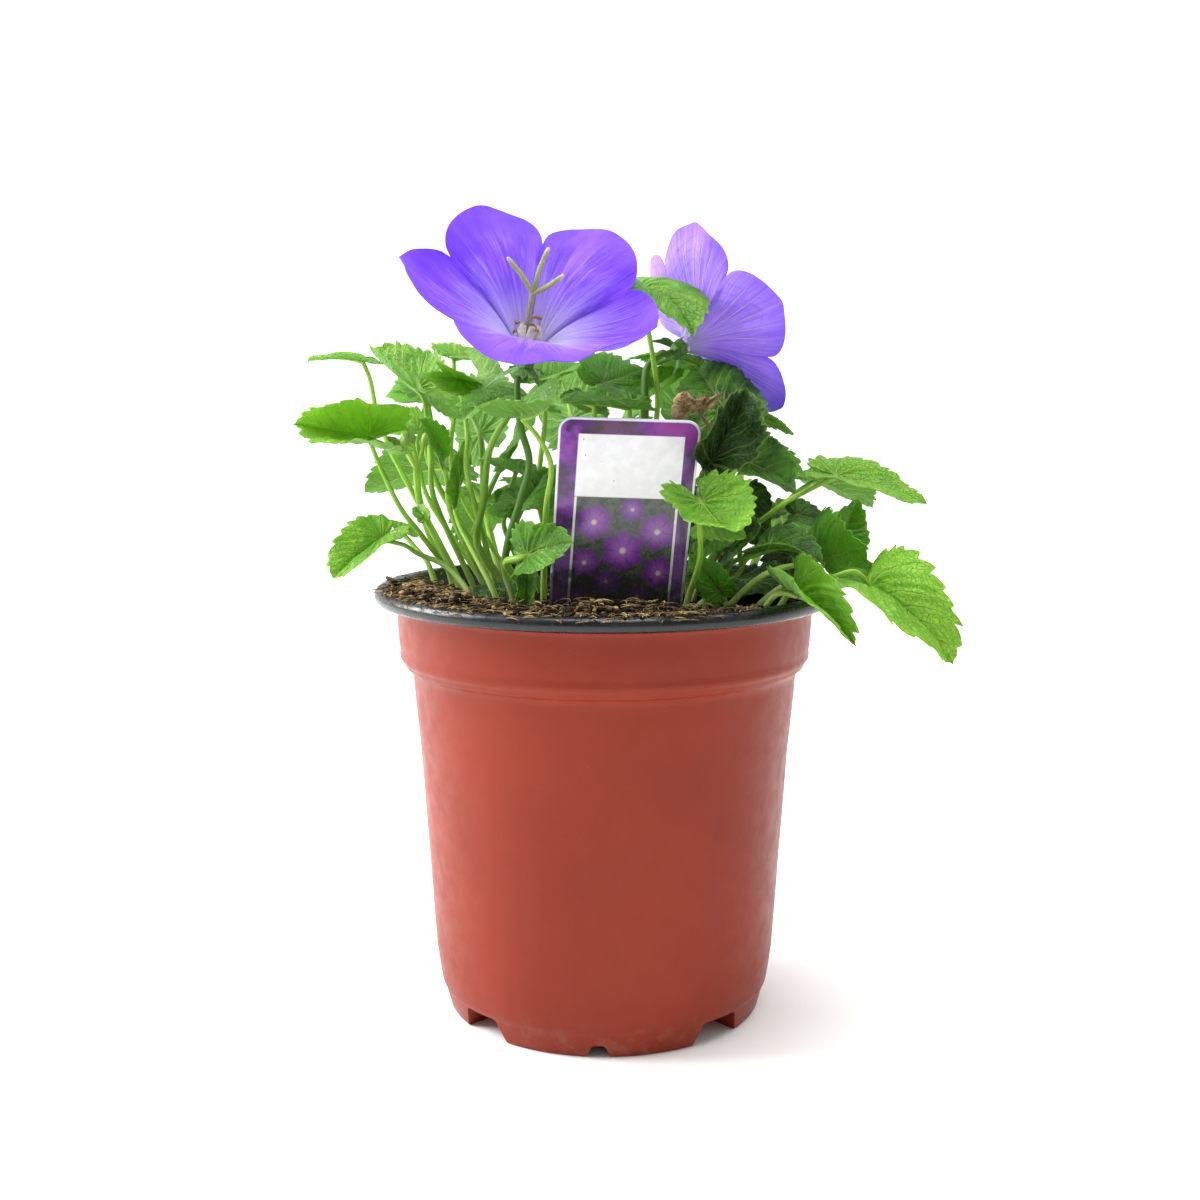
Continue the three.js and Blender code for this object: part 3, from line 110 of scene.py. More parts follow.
# ------------------------------------------------------------------ tables
# each leaf's tone runs from dark to pale green: partly the leaf's own colour, and partly painted shade on leaves that
# sit in shade
LEAVES = [
    dict(name='leaf_01', k='top', b=(-63.32, 26.78, 162.52), t=(-77.58, 29, 162.17), n=(-0.0129, 0.0737, 0.9972), w=14.8, bend=0.496, fold=0.368, curl=-0.616, diff=-0.029, r=0.80, seed=1, tone_and_shade=0.50, L0=14.4,
         path=[(-61.42, 26.16, 157.28), (-59.87, 24.9, 149.46), (-57.28, 24.22, 141.83), (-54.99, 23.65, 136.77), (-38.32, 18.51, 106.12), (-36.32, 18.53, 100.07)]),
    dict(name='leaf_02', k='top', b=(-58.43, 1.96, 143.59), t=(-75.09, -10.1, 146.83), n=(0.5838, -0.691, 0.4262), w=27.9, bend=0.272, fold=0.648, curl=1.047, diff=0.184, r=0.80, seed=2, tone_and_shade=0.75, L0=20.8,
         path=[(-55.72, 3.53, 135.21), (-51.08, 1.45, 126.18), (-45.93, 2.88, 118.91), (-37.44, 7.57, 106.05), (-36.3, 7.63, 100.12)]),
    dict(name='leaf_03', k='top', b=(-49.19, 29.44, 143.81), t=(-59.97, 39.28, 145.22), n=(-0.4479, -0.5874, 0.674), w=14.5, bend=-0.471, fold=0.703, curl=0.335, diff=0.090, r=0.80, seed=3, tone_and_shade=0.60, L0=14.7,
         path=[(-49.47, 27.68, 139.06), (-46.59, 25.66, 126.11), (-33.04, 20.66, 106.24), (-31.18, 20.27, 100.1)]),
    dict(name='leaf_04', k='top', b=(-48.47, 37.44, 152.76), t=(-58.87, 46.23, 153.82), n=(-0.4755, -0.636, 0.6078), w=14.3, bend=0.213, fold=0.399, curl=0.828, diff=0.032, r=0.80, seed=4, tone_and_shade=0.25, L0=13.7,
         path=[(-48.42, 33.34, 144.07), (-45.11, 31.05, 130.78), (-30.08, 27.06, 106.17), (-28.29, 25.47, 100.1)]),
    dict(name='leaf_05', k='top', b=(-47.65, 12.96, 155.34), t=(-60.78, 24.11, 165.76), n=(0.2464, -0.4909, 0.8356), w=21.9, bend=-0.472, fold=0.577, curl=0.466, diff=-0.076, r=0.80, seed=5, tone_and_shade=0.40, L0=20.1,
         path=[(-45.86, 12.38, 152.53), (-45.15, 12.7, 147.2), (-44.25, 12.55, 138.56), (-43.51, 11.08, 127.29), (-33.24, 3.53, 106.22), (-32.14, 3.16, 100.14)]),
    dict(name='leaf_06', k='top', b=(-40.29, 34.47, 163.18), t=(-33.33, 47.76, 165.55), n=(0.1853, -0.2659, 0.946), w=15.5, bend=-0.321, fold=0.245, curl=0.052, diff=-0.023, r=0.80, seed=6, tone_and_shade=0.40, L0=15.2,
         path=[(-39.66, 31.78, 152.29), (-40.27, 30.78, 131.22), (-25.79, 28.16, 106.1), (-23.91, 27.33, 100.12)]),
    dict(name='leaf_07', k='under', b=(-36.59, 5.62, 158.13), t=(-36.62, 28.22, 164.79), n=(0.8216, 0.1622, -0.5466), w=20.1, bend=1.658, fold=0.822, curl=1.047, diff=0.188, r=0.80, seed=7, tone_and_shade=0.50, L0=23.6,
         path=[(-35.12, 5.87, 150.28), (-34.19, 3.8, 143.33), (-33.87, -0.03, 133.42), (-27.81, 8.42, 106.44), (-26.75, 10.35, 100.09)]),
    dict(name='leaf_08', k='top', b=(-19.03, -1.03, 152.42), t=(-33.56, -11.1, 148.37), n=(-0.0491, -0.3113, 0.9491), w=19.9, bend=1.089, fold=0.345, curl=-0.344, diff=0.048, r=1.10, seed=8, tone_and_shade=0.00, L0=18.1,
         path=[(-23.03, -0.88, 149.57), (-28.42, 0, 140.57), (-30.05, -0.34, 127.98), (-31.77, 0.97, 116.74), (-24.78, 1.72, 106.21), (-24.09, 1.56, 100.09)]),
    dict(name='leaf_09', k='top', b=(-19.07, -24.84, 149.02), t=(-11.13, -45.23, 153.16), n=(-0.4094, 0.0258, 0.912), w=22.9, bend=-0.296, fold=0.683, curl=-0.307, diff=0.038, r=0.80, seed=9, tone_and_shade=0.10, L0=22.3,
         path=[(-15.04, -21.32, 143.74), (-12.5, -18.98, 137.03), (-13.99, -15.7, 126.85), (-14.87, -9.11, 106.1), (-14.73, -8.81, 100.09)]),
    dict(name='leaf_10', k='top', b=(-46.62, 23.32, 154.13), t=(-37.06, 15.04, 147.63), n=(0.2099, -0.4421, 0.8721), w=14.6, bend=0.391, fold=-0.092, curl=0.450, diff=0.084, r=0.80, seed=10, tone_and_shade=0.20, L0=14.2,
         path=[(-45.05, 21.41, 145.96), (-44.05, 18.57, 131.83), (-28.2, 15.17, 106.15), (-27.3, 14.24, 100.08)]),
    dict(name='leaf_11', k='under', b=(-41.56, 6.23, 139.73), t=(-45.58, 0.07, 147.65), n=(0.8912, -0.4403, 0.1093), w=10.6, bend=0.359, fold=0.278, curl=0.167, diff=-0.067, r=0.80, seed=11, tone_and_shade=0.30, L0=10.8,
         path=[(-39.58, 4.83, 132.64), (-38.52, 4.23, 124.02), (-30.03, 3.18, 105.52), (-30.2, -0.51, 100.08)]),
    dict(name='leaf_12', k='top', b=(-36.75, 4.03, 129.97), t=(-34.86, 19.14, 142.18), n=(-0.0221, -0.6266, 0.779), w=8.6, bend=0.258, fold=0.909, curl=0.328, diff=-0.062, r=0.80, seed=12, tone_and_shade=0.50, L0=19.5,
         path=[(-36.71, 0.78, 123.15), (-26.74, -13.04, 106.67), (-26.31, -8.42, 100.08)]),
    dict(name='leaf_13', k='under', b=(-56.39, 5.93, 117.81), t=(-67.5, -3.9, 108.77), n=(-0.065, -0.6346, 0.7701), w=17.3, bend=0.270, fold=0.437, curl=0.035, diff=-0.116, r=0.80, seed=13, tone_and_shade=0.50, L0=17.4,
         path=[(-50.38, 3.67, 116.36), (-47, 2.14, 114.48), (-39.94, -0.09, 111.63), (-33.45, -6.69, 105.8), (-33.19, -7.21, 100.09)]),
    dict(name='leaf_14', k='under', b=(-52.57, 16.14, 118.83), t=(-59.25, 25.26, 120.49), n=(0.3056, 0.0515, 0.9508), w=12.2, bend=0.273, fold=0.250, curl=-0.179, diff=0.006, r=0.80, seed=14, tone_and_shade=0.40, L0=11.4,
         path=[(-48.67, 13.36, 114.44), (-44.9, 8.95, 110.58), (-40.94, 3.87, 100.08)]),
    dict(name='leaf_15', k='top', b=(-45.49, 6.29, 122.93), t=(-48.21, 10.61, 125.51), n=(-0.3301, -0.6273, 0.7053), w=5.4, bend=0.090, fold=0.470, curl=0.465, diff=0.014, r=0.80, seed=15, tone_and_shade=0.50, L0=5.7,
         path=[(-42.97, 5.05, 118.16), (-36.41, -0.6, 106.35), (-35.95, -0.96, 100.09)]),
    dict(name='leaf_16', k='top', b=(-20.5, -5.97, 126.26), t=(-13.76, 7.67, 135.57), n=(-0.2717, -0.4477, 0.8519), w=19.3, bend=-0.297, fold=0.707, curl=-1.396, diff=0.027, r=0.80, seed=16, tone_and_shade=-0.25, L0=17.8,
         path=[(-21.39, -4.37, 120.78), (-16.48, 3.2, 106.24), (-16.62, 4.24, 100.12)]),
    dict(name='leaf_17', k='top', b=(-24.96, 5.3, 124.54), t=(-26.31, 13.14, 129.76), n=(0.0303, -0.5502, 0.8345), w=8.9, bend=0.040, fold=0.556, curl=0.695, diff=0.009, r=0.80, seed=17, tone_and_shade=-0.20, L0=9.5,
         path=[(-25.18, 6.48, 119.79), (-20.25, 11.62, 106.13), (-20.95, 12.04, 100.09)]),
    dict(name='leaf_18', k='top', b=(-17.78, -25.95, 117.15), t=(-7, -35.94, 121.22), n=(-0.7004, -0.5957, 0.3931), w=16.0, bend=0.368, fold=0.234, curl=0.620, diff=-0.107, r=1.10, seed=18, tone_and_shade=-0.20, L0=15.3,
         path=[(-20.02, -25.19, 116.37), (-23.36, -18.45, 114.14), (-18.25, -12.65, 105.69), (-17.82, -15.67, 100.06)]),
    dict(name='leaf_19', k='under', b=(-18.88, -20.73, 107.25), t=(-18.47, -12.85, 113.23), n=(0.1148, -0.6038, 0.7888), w=7.3, bend=0.294, fold=0.499, curl=0.578, diff=-0.052, r=0.80, seed=19, tone_and_shade=-0.40, L0=9.9,
         path=[(-14.25, -19.8, 100.12)]),
    dict(name='leaf_20', k='top', b=(-25.39, -7.28, 106.38), t=(-31.98, 1.07, 106.03), n=(-0.2017, -0.1179, 0.9723), w=10.2, bend=0.208, fold=0.083, curl=-0.322, diff=-0.034, r=0.80, seed=20, tone_and_shade=-0.90, L0=10.6,
         path=[(-20.97, -8.79, 100.09)]),
    dict(name='leaf_21', k='top', b=(-22.51, 12.71, 134.74), t=(-32.57, 20.6, 136.9), n=(0.1134, -0.1255, 0.9856), w=12.8, bend=0.121, fold=0.201, curl=0.003, diff=-0.003, r=0.80, seed=21, tone_and_shade=-0.20, L0=13.0,
         path=[(-24.43, 14.25, 126.69), (-21.32, 18.88, 106.36), (-21.34, 24.01, 100.11)]),
    dict(name='leaf_22', k='top', b=(8.94, 6.08, 179.89), t=(20.55, -10.81, 167.99), n=(0.3858, -0.3392, 0.8579), w=24.8, bend=0.682, fold=0.661, curl=-1.070, diff=-0.099, r=0.80, seed=22, tone_and_shade=0.30, L0=23.7,
         path=[(9.82, 5.18, 174.13), (11.48, 5.28, 166.08), (13.27, 5.39, 152.32), (11.54, 4.44, 135.07), (9.88, 4.54, 106), (10.23, 3.94, 100.08)]),
    dict(name='leaf_23', k='under', b=(24.3, 24.87, 161.88), t=(6.91, 14.93, 162.72), n=(0.0269, 0.0374, 0.9989), w=16.3, bend=0.458, fold=0.166, curl=-0.595, diff=-0.082, r=0.80, seed=23, tone_and_shade=0.10, L0=20.0,
         path=[(18.62, 22.85, 150.24), (15.45, 18.17, 129.78), (16.19, 10.97, 105.37), (17.29, 10.54, 100.08)]),
    dict(name='leaf_24', k='top', b=(29.67, -2.58, 149.97), t=(23.68, 16.29, 159.93), n=(-0.3903, -0.5237, 0.7573), w=23.4, bend=0.813, fold=0.311, curl=-1.396, diff=0.048, r=0.80, seed=24, tone_and_shade=-0.50, L0=22.2,
         path=[(29.19, 2.73, 138.54), (31.74, 16.58, 127.47), (33.69, 25.08, 111.13), (32.56, 27.53, 105.29), (33.35, 27.96, 100.14)]),
    dict(name='leaf_25', k='top', b=(24.11, -25.73, 138.54), t=(33.11, -15.88, 154.92), n=(-0.0136, -0.8537, 0.5207), w=31.1, bend=-0.611, fold=0.960, curl=0.298, diff=-0.349, r=0.80, seed=25, tone_and_shade=-1.00, L0=21.1,
         path=[(22.73, -17.98, 134.46), (22.17, -7.2, 121.74), (20.76, -3.34, 106.09), (21.67, -2.77, 100.11)]),
    dict(name='leaf_26', k='under', b=(38.25, 9.8, 149.04), t=(46.78, 2.29, 144.73), n=(0.5775, 0.203, 0.7908), w=11.7, bend=0.050, fold=0.165, curl=-0.295, diff=-0.011, r=0.80, seed=26, tone_and_shade=0.10, L0=12.2,
         path=[(36.62, 10.62, 140.02), (32.16, 11.35, 122.35), (29.82, 13.95, 106.6), (29.27, 12.23, 100.09)]),
    dict(name='leaf_27', k='top', b=(35.71, 1.89, 137.23), t=(48.86, 7.56, 130.1), n=(0.5512, -0.6913, 0.4672), w=17.9, bend=0.304, fold=0.323, curl=0.519, diff=0.026, r=0.80, seed=27, tone_and_shade=-0.50, L0=16.0,
         path=[(32.93, 2.51, 132.88), (29.41, 7.72, 121.24), (30.13, 11.9, 105.8), (29.56, 3.99, 100.13)]),
    dict(name='leaf_28', k='under', b=(56.71, -4.37, 134.3), t=(77.15, -8.97, 128.11), n=(0.2047, -0.3294, 0.9218), w=19.8, bend=0.210, fold=0.199, curl=-0.000, diff=-0.016, r=0.80, seed=28, tone_and_shade=0.50, L0=21.8,
         path=[(54.52, -4.38, 133.12), (47.91, -4.31, 129.8), (42.41, -7.99, 126.96), (34.59, 5.07, 117.28), (35.47, 6.76, 107.5), (34.77, -1.65, 100.13)]),
    dict(name='leaf_29', k='top', b=(21.68, -39.69, 130.51), t=(27.69, -57.58, 125.9), n=(-0.2176, -0.3114, 0.925), w=23.1, bend=-0.611, fold=0.229, curl=0.549, diff=0.115, r=0.80, seed=29, tone_and_shade=0.40, L0=19.4,
         path=[(21.5, -36.09, 125.14), (21.89, -31.35, 116.66), (19.36, -24.9, 106.13), (18.71, -24.87, 100.1)]),
    dict(name='leaf_30', k='top', b=(23.66, -17.76, 123.68), t=(32.59, -29.93, 121.74), n=(-0.55, -0.5094, 0.6618), w=11.0, bend=0.537, fold=0.306, curl=0.000, diff=-0.009, r=0.80, seed=30, tone_and_shade=0.30, L0=15.2,
         path=[(22.77, -18.14, 117.93), (23.83, -22.26, 106.03), (23.96, -19.21, 100.08)]),
    dict(name='leaf_31', k='top', b=(38.48, -24.43, 118.5), t=(49.51, -30.28, 116.2), n=(0.0272, -0.3221, 0.9463), w=14.3, bend=0.972, fold=0.513, curl=-0.000, diff=-0.018, r=0.80, seed=31, tone_and_shade=-0.50, L0=12.7,
         path=[(33.63, -21.87, 115.99), (31.6, -19.1, 111.73), (26.64, -21.88, 108.47), (18.97, -14.27, 100.08)]),
    dict(name='leaf_32', k='under', b=(54.45, -7.02, 114.53), t=(60.27, -29.56, 119.84), n=(-0.8606, -0.3162, -0.3993), w=25.3, bend=0.316, fold=0.221, curl=-1.396, diff=-0.055, r=0.80, seed=32, tone_and_shade=-0.10, L0=23.9,
         path=[(50.38, -13.84, 111.14), (40.85, -18.35, 107.89), (30.56, -28.29, 100.1)]),
    dict(name='leaf_33', k='top', b=(59.89, 3.71, 118.81), t=(61.52, -7.26, 128.38), n=(-0.2744, -0.6549, -0.7041), w=14.9, bend=0.408, fold=0.418, curl=0.166, diff=-0.047, r=0.80, seed=33, tone_and_shade=0.10, L0=14.6,
         path=[(51.77, -0.11, 113.2), (37.66, -16.81, 111.17), (24.73, -23.14, 100.12)]),
    dict(name='leaf_34', k='top', b=(60.45, -35.23, 110.9), t=(75.78, -51.07, 96.94), n=(-0.2071, -0.7517, 0.6261), w=23.4, bend=1.600, fold=0.531, curl=0.122, diff=0.231, r=0.80, seed=34, tone_and_shade=0.65, L0=26.1,
         path=[(56.54, -38.38, 114.97), (51.07, -37.46, 113.42), (45.67, -21.25, 110.04), (39.02, -20.95, 100.08)]),
    dict(name='leaf_35', k='top', b=(44.24, -33.64, 108.88), t=(55.07, -49.83, 100), n=(-0.4238, -0.6368, 0.6441), w=19.8, bend=1.403, fold=0.960, curl=0.433, diff=0.342, r=0.80, seed=35, tone_and_shade=0.40, L0=21.4,
         path=[(38.8, -36.07, 109.26), (33.85, -31.27, 100.1)]),
    dict(name='leaf_36', k='top', b=(30.7, -2.28, 107.92), t=(46.11, -16.15, 107.3), n=(-0.2007, -0.2647, 0.9432), w=20.9, bend=0.465, fold=-0.243, curl=0.787, diff=0.073, r=0.80, seed=36, tone_and_shade=-1.00, L0=20.7,
         path=[(22.27, -5.96, 100.13)]),
    dict(name='leaf_37', k='top', b=(27.95, -11.5, 110.2), t=(18.65, -18.79, 109.59), n=(0.0769, -0.1806, 0.9806), w=11.5, bend=0.267, fold=0.011, curl=0.053, diff=-0.046, r=0.80, seed=37, tone_and_shade=-0.90, L0=11.8,
         path=[(29.93, -23.8, 100.08)]),
    dict(name='leaf_38', k='top', b=(48.46, 5.36, 123.91), t=(56.43, 10.32, 121.65), n=(0.5422, -0.6051, 0.583), w=9.3, bend=0.110, fold=0.243, curl=0.188, diff=0.043, r=0.80, seed=38, tone_and_shade=-0.60, L0=9.7,
         path=[(44.37, 6.87, 120.11), (35.59, 8.12, 113.09), (20.65, 10.92, 105.58), (21.57, 10.69, 100.15)]),
    dict(name='leaf_39', k='top', b=(38.22, 4.75, 124.04), t=(45.76, 12.46, 125.13), n=(0.2698, -0.3891, 0.8808), w=10.8, bend=0.215, fold=0.203, curl=0.071, diff=0.075, r=0.80, seed=39, tone_and_shade=-0.60, L0=10.8,
         path=[(34.2, 6.29, 118.49), (26.27, 7.6, 106.38), (26.2, 1.25, 100.13)]),
    dict(name='leaf_40', k='top', b=(30.09, -14.83, 117.46), t=(36.52, -24.46, 123.8), n=(-0.8457, -0.2555, 0.4685), w=13.3, bend=0.088, fold=0.050, curl=0.272, diff=0.056, r=0.80, seed=40, tone_and_shade=-0.60, L0=13.2,
         path=[(29.55, -19.28, 113.55), (26.63, -18.45, 106.91), (26.13, -9.79, 100.09)]),
    dict(name='leaf_41', k='top', b=(6.17, -5.83, 151.01), t=(-10.26, -9.05, 152.02), n=(0.1012, -0.2122, 0.972), w=17.4, bend=0.229, fold=0.335, curl=-0.000, diff=-0.038, r=0.80, seed=41, tone_and_shade=-0.10, L0=16.8,
         path=[(5.86, -5.26, 143.02), (4.04, -3.85, 123.31), (2.09, -1.56, 106.16), (1.5, -1.84, 100.07)]),
    dict(name='leaf_42', k='under', b=(-2.38, 2.98, 151.21), t=(-10.82, 8.54, 153.15), n=(0.4455, 0.3963, 0.8028), w=10.1, bend=0.102, fold=0.104, curl=0.000, diff=-0.035, r=0.80, seed=42, tone_and_shade=-0.10, L0=10.3,
         path=[(-2.47, 3.2, 142.67), (-3.55, 5.82, 106.2), (-3.76, 6.25, 100.08)]),
    dict(name='leaf_43', k='under', b=(-0.05, 7.08, 156.67), t=(9.99, 22.45, 160.03), n=(0.44, -0.4565, 0.7733), w=19.4, bend=0.010, fold=0.075, curl=0.387, diff=0.028, r=0.80, seed=43, tone_and_shade=0.10, L0=18.7,
         path=[(0.25, 9.12, 144.95), (-0.94, 11.18, 122.05), (-2.02, 13.24, 106.12), (-1.83, 13.47, 100.1)]),
    dict(name='leaf_44', k='under', b=(10.11, 21.46, 153.61), t=(20.31, 23.7, 159.78), n=(-0.2681, -0.6744, 0.688), w=11.9, bend=0.270, fold=0.315, curl=0.351, diff=0.039, r=0.80, seed=44, tone_and_shade=0.30, L0=12.1,
         path=[(8.79, 12.85, 144.57), (7.46, 23.79, 121.14), (6.16, 21.01, 106.2), (6.07, 19.75, 100.14)]),
    dict(name='leaf_45', k='top', b=(-16.05, 10.69, 157.2), t=(-5.39, 23.69, 161.08), n=(0.0146, -0.2966, 0.9549), w=18.1, bend=0.049, fold=0.357, curl=0.174, diff=-0.012, r=0.80, seed=45, tone_and_shade=-0.10, L0=17.3,
         path=[(-15.11, 10.37, 147.42), (-16.72, 8.95, 127.24), (-11.32, 12.44, 105.99), (-10.84, 12.06, 100.11)]),
    dict(name='withered_leaf', k='dry', b=(27.93, -13.71, 148.5), t=(17.43, -13.71, 152.99), n=(0.2525, -0.766, 0.5911), w=9.1, bend=0.611, fold=0.175, curl=1.396, diff=0.000, r=0.60, seed=46, tone_and_shade=0.00, L0=11.4,
         path=[(25.55, -8.68, 144.43), (20.36, -8.82, 136.31), (17.13, -9.5, 121.58), (15.16, -10.04, 110.62), (14.86, -10.63, 100.12)]),
]
SHOOTS = [
    dict(name='shoot_back_left', r=1.10, stem=[(-33, 38, 124), (-30, 34, 112), (-27, 31, 100)], leaves=[
        dict(name='shoot_back_left_leaf_1', k='top', b=(-44.28, 40.97, 133.84), t=(-66.28, 49.97, 126.84), n=(0.0303, 0.6588, 0.7517), w=23.0, bend=0.436, fold=0.209, curl=0.000, diff=0.000, r=0.80, seed=47, tone_and_shade=0.03, L0=24.8,
         path=[(-38.7, 40.08, 130.39), (-33, 38, 124)]),
        dict(name='shoot_back_left_leaf_2', k='top', b=(-34, 42, 143), t=(-44, 53, 158), n=(0.6135, 0.7737, -0.1584), w=22.0, bend=0.262, fold=0.244, curl=0.000, diff=0.000, r=0.80, seed=48, tone_and_shade=-0.15, L0=21.1,
         path=[(-33.5, 40, 135), (-33, 38, 124)]),
        dict(name='shoot_back_left_leaf_3', k='top', b=(-33, 48, 124), t=(-40, 56, 109), n=(-0.137, 0.8461, 0.5152), w=17.0, bend=0.611, fold=0.244, curl=0.000, diff=0.000, r=0.80, seed=49, tone_and_shade=-0.03, L0=18.4,
         path=[(-33, 43, 125.5), (-33, 38, 124)]),
        dict(name='shoot_back_left_leaf_4', k='top', b=(-20, 40, 130), t=(-10, 53, 122), n=(0.0484, 0.4962, 0.8668), w=19.0, bend=0.436, fold=0.209, curl=0.000, diff=0.000, r=0.80, seed=50, tone_and_shade=0.09, L0=18.2,
         path=[(-26.5, 39, 128.5), (-33, 38, 124)]),
        dict(name='shoot_back_left_leaf_5', k='top', b=(-24.27, 33.04, 139.93), t=(-18.27, 15.04, 146.93), n=(-0.8833, -0.118, 0.4537), w=19.0, bend=0.262, fold=0.209, curl=0.000, diff=0.000, r=0.80, seed=51, tone_and_shade=-0.09, L0=20.2,
         path=[(-28.73, 37.99, 132.82), (-33, 38, 124)]),
    ]),
    dict(name='shoot_back_mid', r=1.10, stem=[(-5, 44, 128), (-6, 41, 114), (-6, 38, 100)], leaves=[
        dict(name='shoot_back_mid_leaf_1', k='top', b=(-9, 42, 147), t=(-14, 54, 163), n=(0.4896, 0.7641, -0.4201), w=22.0, bend=0.262, fold=0.209, curl=0.000, diff=0.000, r=0.80, seed=52, tone_and_shade=0.03, L0=20.6,
         path=[(-7, 43, 139), (-5, 44, 128)]),
        dict(name='shoot_back_mid_leaf_2', k='top', b=(4, 45, 143), t=(14, 55.5, 132), n=(0.1783, 0.6257, 0.7594), w=21.0, bend=0.524, fold=0.209, curl=0.000, diff=0.000, r=0.80, seed=53, tone_and_shade=-0.15, L0=18.2,
         path=[(-0.5, 44.5, 137), (-5, 44, 128)]),
        dict(name='shoot_back_mid_leaf_3', k='top', b=(-7, 48, 122), t=(-14, 57, 108), n=(-0.2542, 0.7508, 0.6097), w=17.0, bend=0.524, fold=0.209, curl=0.000, diff=0.000, r=0.80, seed=54, tone_and_shade=-0.03, L0=18.1,
         path=[(-6, 46, 126.5), (-5, 44, 128)]),
        dict(name='shoot_back_mid_leaf_4', k='top', b=(4.12, 35.99, 144.87), t=(11.12, 17.99, 149.87), n=(-0.6999, -0.0749, 0.7103), w=20.0, bend=0.262, fold=0.209, curl=0.000, diff=0.000, r=0.80, seed=55, tone_and_shade=0.09, L0=19.9,
         path=[(-0.78, 42.49, 137.84), (-5, 44, 128)]),
    ]),
    dict(name='shoot_back_right', r=1.10, stem=[(22, 41, 127), (19, 38, 114), (17, 35, 100)], leaves=[
        dict(name='shoot_back_right_leaf_1', k='top', b=(22, 41, 149), t=(33, 52, 163), n=(-0.6744, 0.7368, -0.049), w=23.0, bend=0.314, fold=0.244, curl=0.000, diff=0.000, r=0.80, seed=56, tone_and_shade=0.03, L0=20.9,
         path=[(22, 41, 139.5), (22, 41, 127)]),
        dict(name='shoot_back_right_leaf_2', k='top', b=(36, 42, 136), t=(54, 51, 130), n=(0.0258, 0.5182, 0.8549), w=22.0, bend=0.436, fold=0.209, curl=0.000, diff=0.000, r=0.80, seed=57, tone_and_shade=-0.15, L0=21.0,
         path=[(29, 41.5, 133), (22, 41, 127)]),
        dict(name='shoot_back_right_leaf_3', k='top', b=(22, 47, 123), t=(26, 56.5, 109), n=(0.3508, 0.7253, 0.5924), w=19.0, bend=0.611, fold=0.244, curl=0.000, diff=0.000, r=0.80, seed=58, tone_and_shade=-0.03, L0=17.4,
         path=[(22, 44, 126.5), (22, 41, 127)]),
    ]),
    dict(name='shoot_back_far_right', r=1.10, stem=[(45, 29, 120), (41, 26, 112), (36, 22, 100)], leaves=[
        dict(name='shoot_back_far_right_leaf_1', k='top', b=(56, 31, 131), t=(73, 38, 123), n=(0.2524, 0.396, 0.8829), w=21.0, bend=0.489, fold=0.209, curl=0.000, diff=0.000, r=0.80, seed=59, tone_and_shade=0.03, L0=20.0,
         path=[(50.5, 30, 127), (45, 29, 120)]),
        dict(name='shoot_back_far_right_leaf_2', k='top', b=(47, 36, 123), t=(52, 48, 109), n=(0.4435, 0.5961, 0.6693), w=19.0, bend=0.559, fold=0.244, curl=0.000, diff=0.000, r=0.80, seed=60, tone_and_shade=-0.15, L0=19.1,
         path=[(46, 32.5, 123), (45, 29, 120)]),
    ]),
]
FLOWER_1 = dict(c=(-18.64, -12, 162.4), axis=(0.1269, -0.2989, 0.9458), turn=0.5255, L=37.06, r0=1.60, notch=0.780, tip=(.1, .1, 1, 1, .9),
    bend=(0.2696, 0.3668, 0.5006, -0.0868, 0.4936), size=(1.0589, 1.0699, 1.0113, 0.9985, 0.8862), early=(0.1825, 0.1813, -0.4777, -0.5055, -0.7248),
    stem=[(-20.7, -13.87, 157.15), (-20.02, -14.65, 147.09), (-18.07, -11.83, 138.23), (-20.13, -14.91, 129.13), (-23.11, -14.66, 119.34), (-24.04, -12.81, 112.24), (-22.21, -13.57, 106.17), (-20.95, -12.82, 100.1)])
FLOWER_2 = dict(c=(19.72, 10, 166.01), axis=(0.8315, 0.3729, 0.4117), turn=1.7506, L=30.92, r0=1.60, notch=0.688, tip=(.7, .7, .7, .7, .7),
    bend=(0.2002, 0.4538, 0.1069, -0.0324, 0.4223), size=(0.9365, 0.9252, 0.9106, 0.9995, 1.0303), early=(-0.5078, -0.4305, -0.2979, -0.0051, -0.8978),
    stem=[(14.17, 8.3, 164.09), (10.6, 7.75, 160.37), (9.96, 2.68, 153.32), (10.34, 1.89, 142.83), (11.18, -0.55, 123.22), (9.43, -5.71, 106.09), (9.09, -5.77, 100.09)])
PISTIL = dict(style=[(-18.49, -12.36, 163.54), (-18.01, -13.49, 167.13), (-17.98, -15, 171.64), (-16.68, -17, 178.01)],
    arms=[[(-16.68, -17, 177.51), (-19.19, -17.5, 181.64), (-22.61, -18, 185.93)], [(-16.68, -17, 177.51), (-14.97, -18, 183.43), (-12.86, -18, 188.2)], [(-16.68, -17, 177.51), (-13.1, -19, 179.27), (-9.33, -21, 181.65)]])
STAMENS = dict(pairs=[[(-19.43, -13.42, 164.33), (-20.56, -16.2, 168.91)], [(-17.15, -12.13, 164.43), (-14.97, -14, 171.9)], [(-17.63, -13.66, 164.02), (-15.43, -17.45, 168.86)], [(-19.24, -11.74, 164.84), (-20.17, -11.74, 171.09)]])
BUDS = dict(stem=[(-47.29, 5, 135.72), (-47.37, 11.51, 127.32), (-44.91, 12.58, 118.09), (-41.15, 12.92, 111.42), (-39.59, 15.72, 106.15), (-38.75, 16.05, 100.07)],
    twigs=[[(-47.29, 5, 135.72), (-49.23, 3, 139.82), (-52.29, 2, 142.35)], [(-47.29, 5, 135.72), (-49.43, 6.5, 138.9), (-50.5, 7.5, 142.36)], [(-47.04, 5, 135.72), (-47.66, 4.5, 140.25), (-48.29, 4, 143.51)], [(-47.05, 5, 135.22), (-46.04, 5.5, 138.95), (-45.29, 6, 142.43)]])
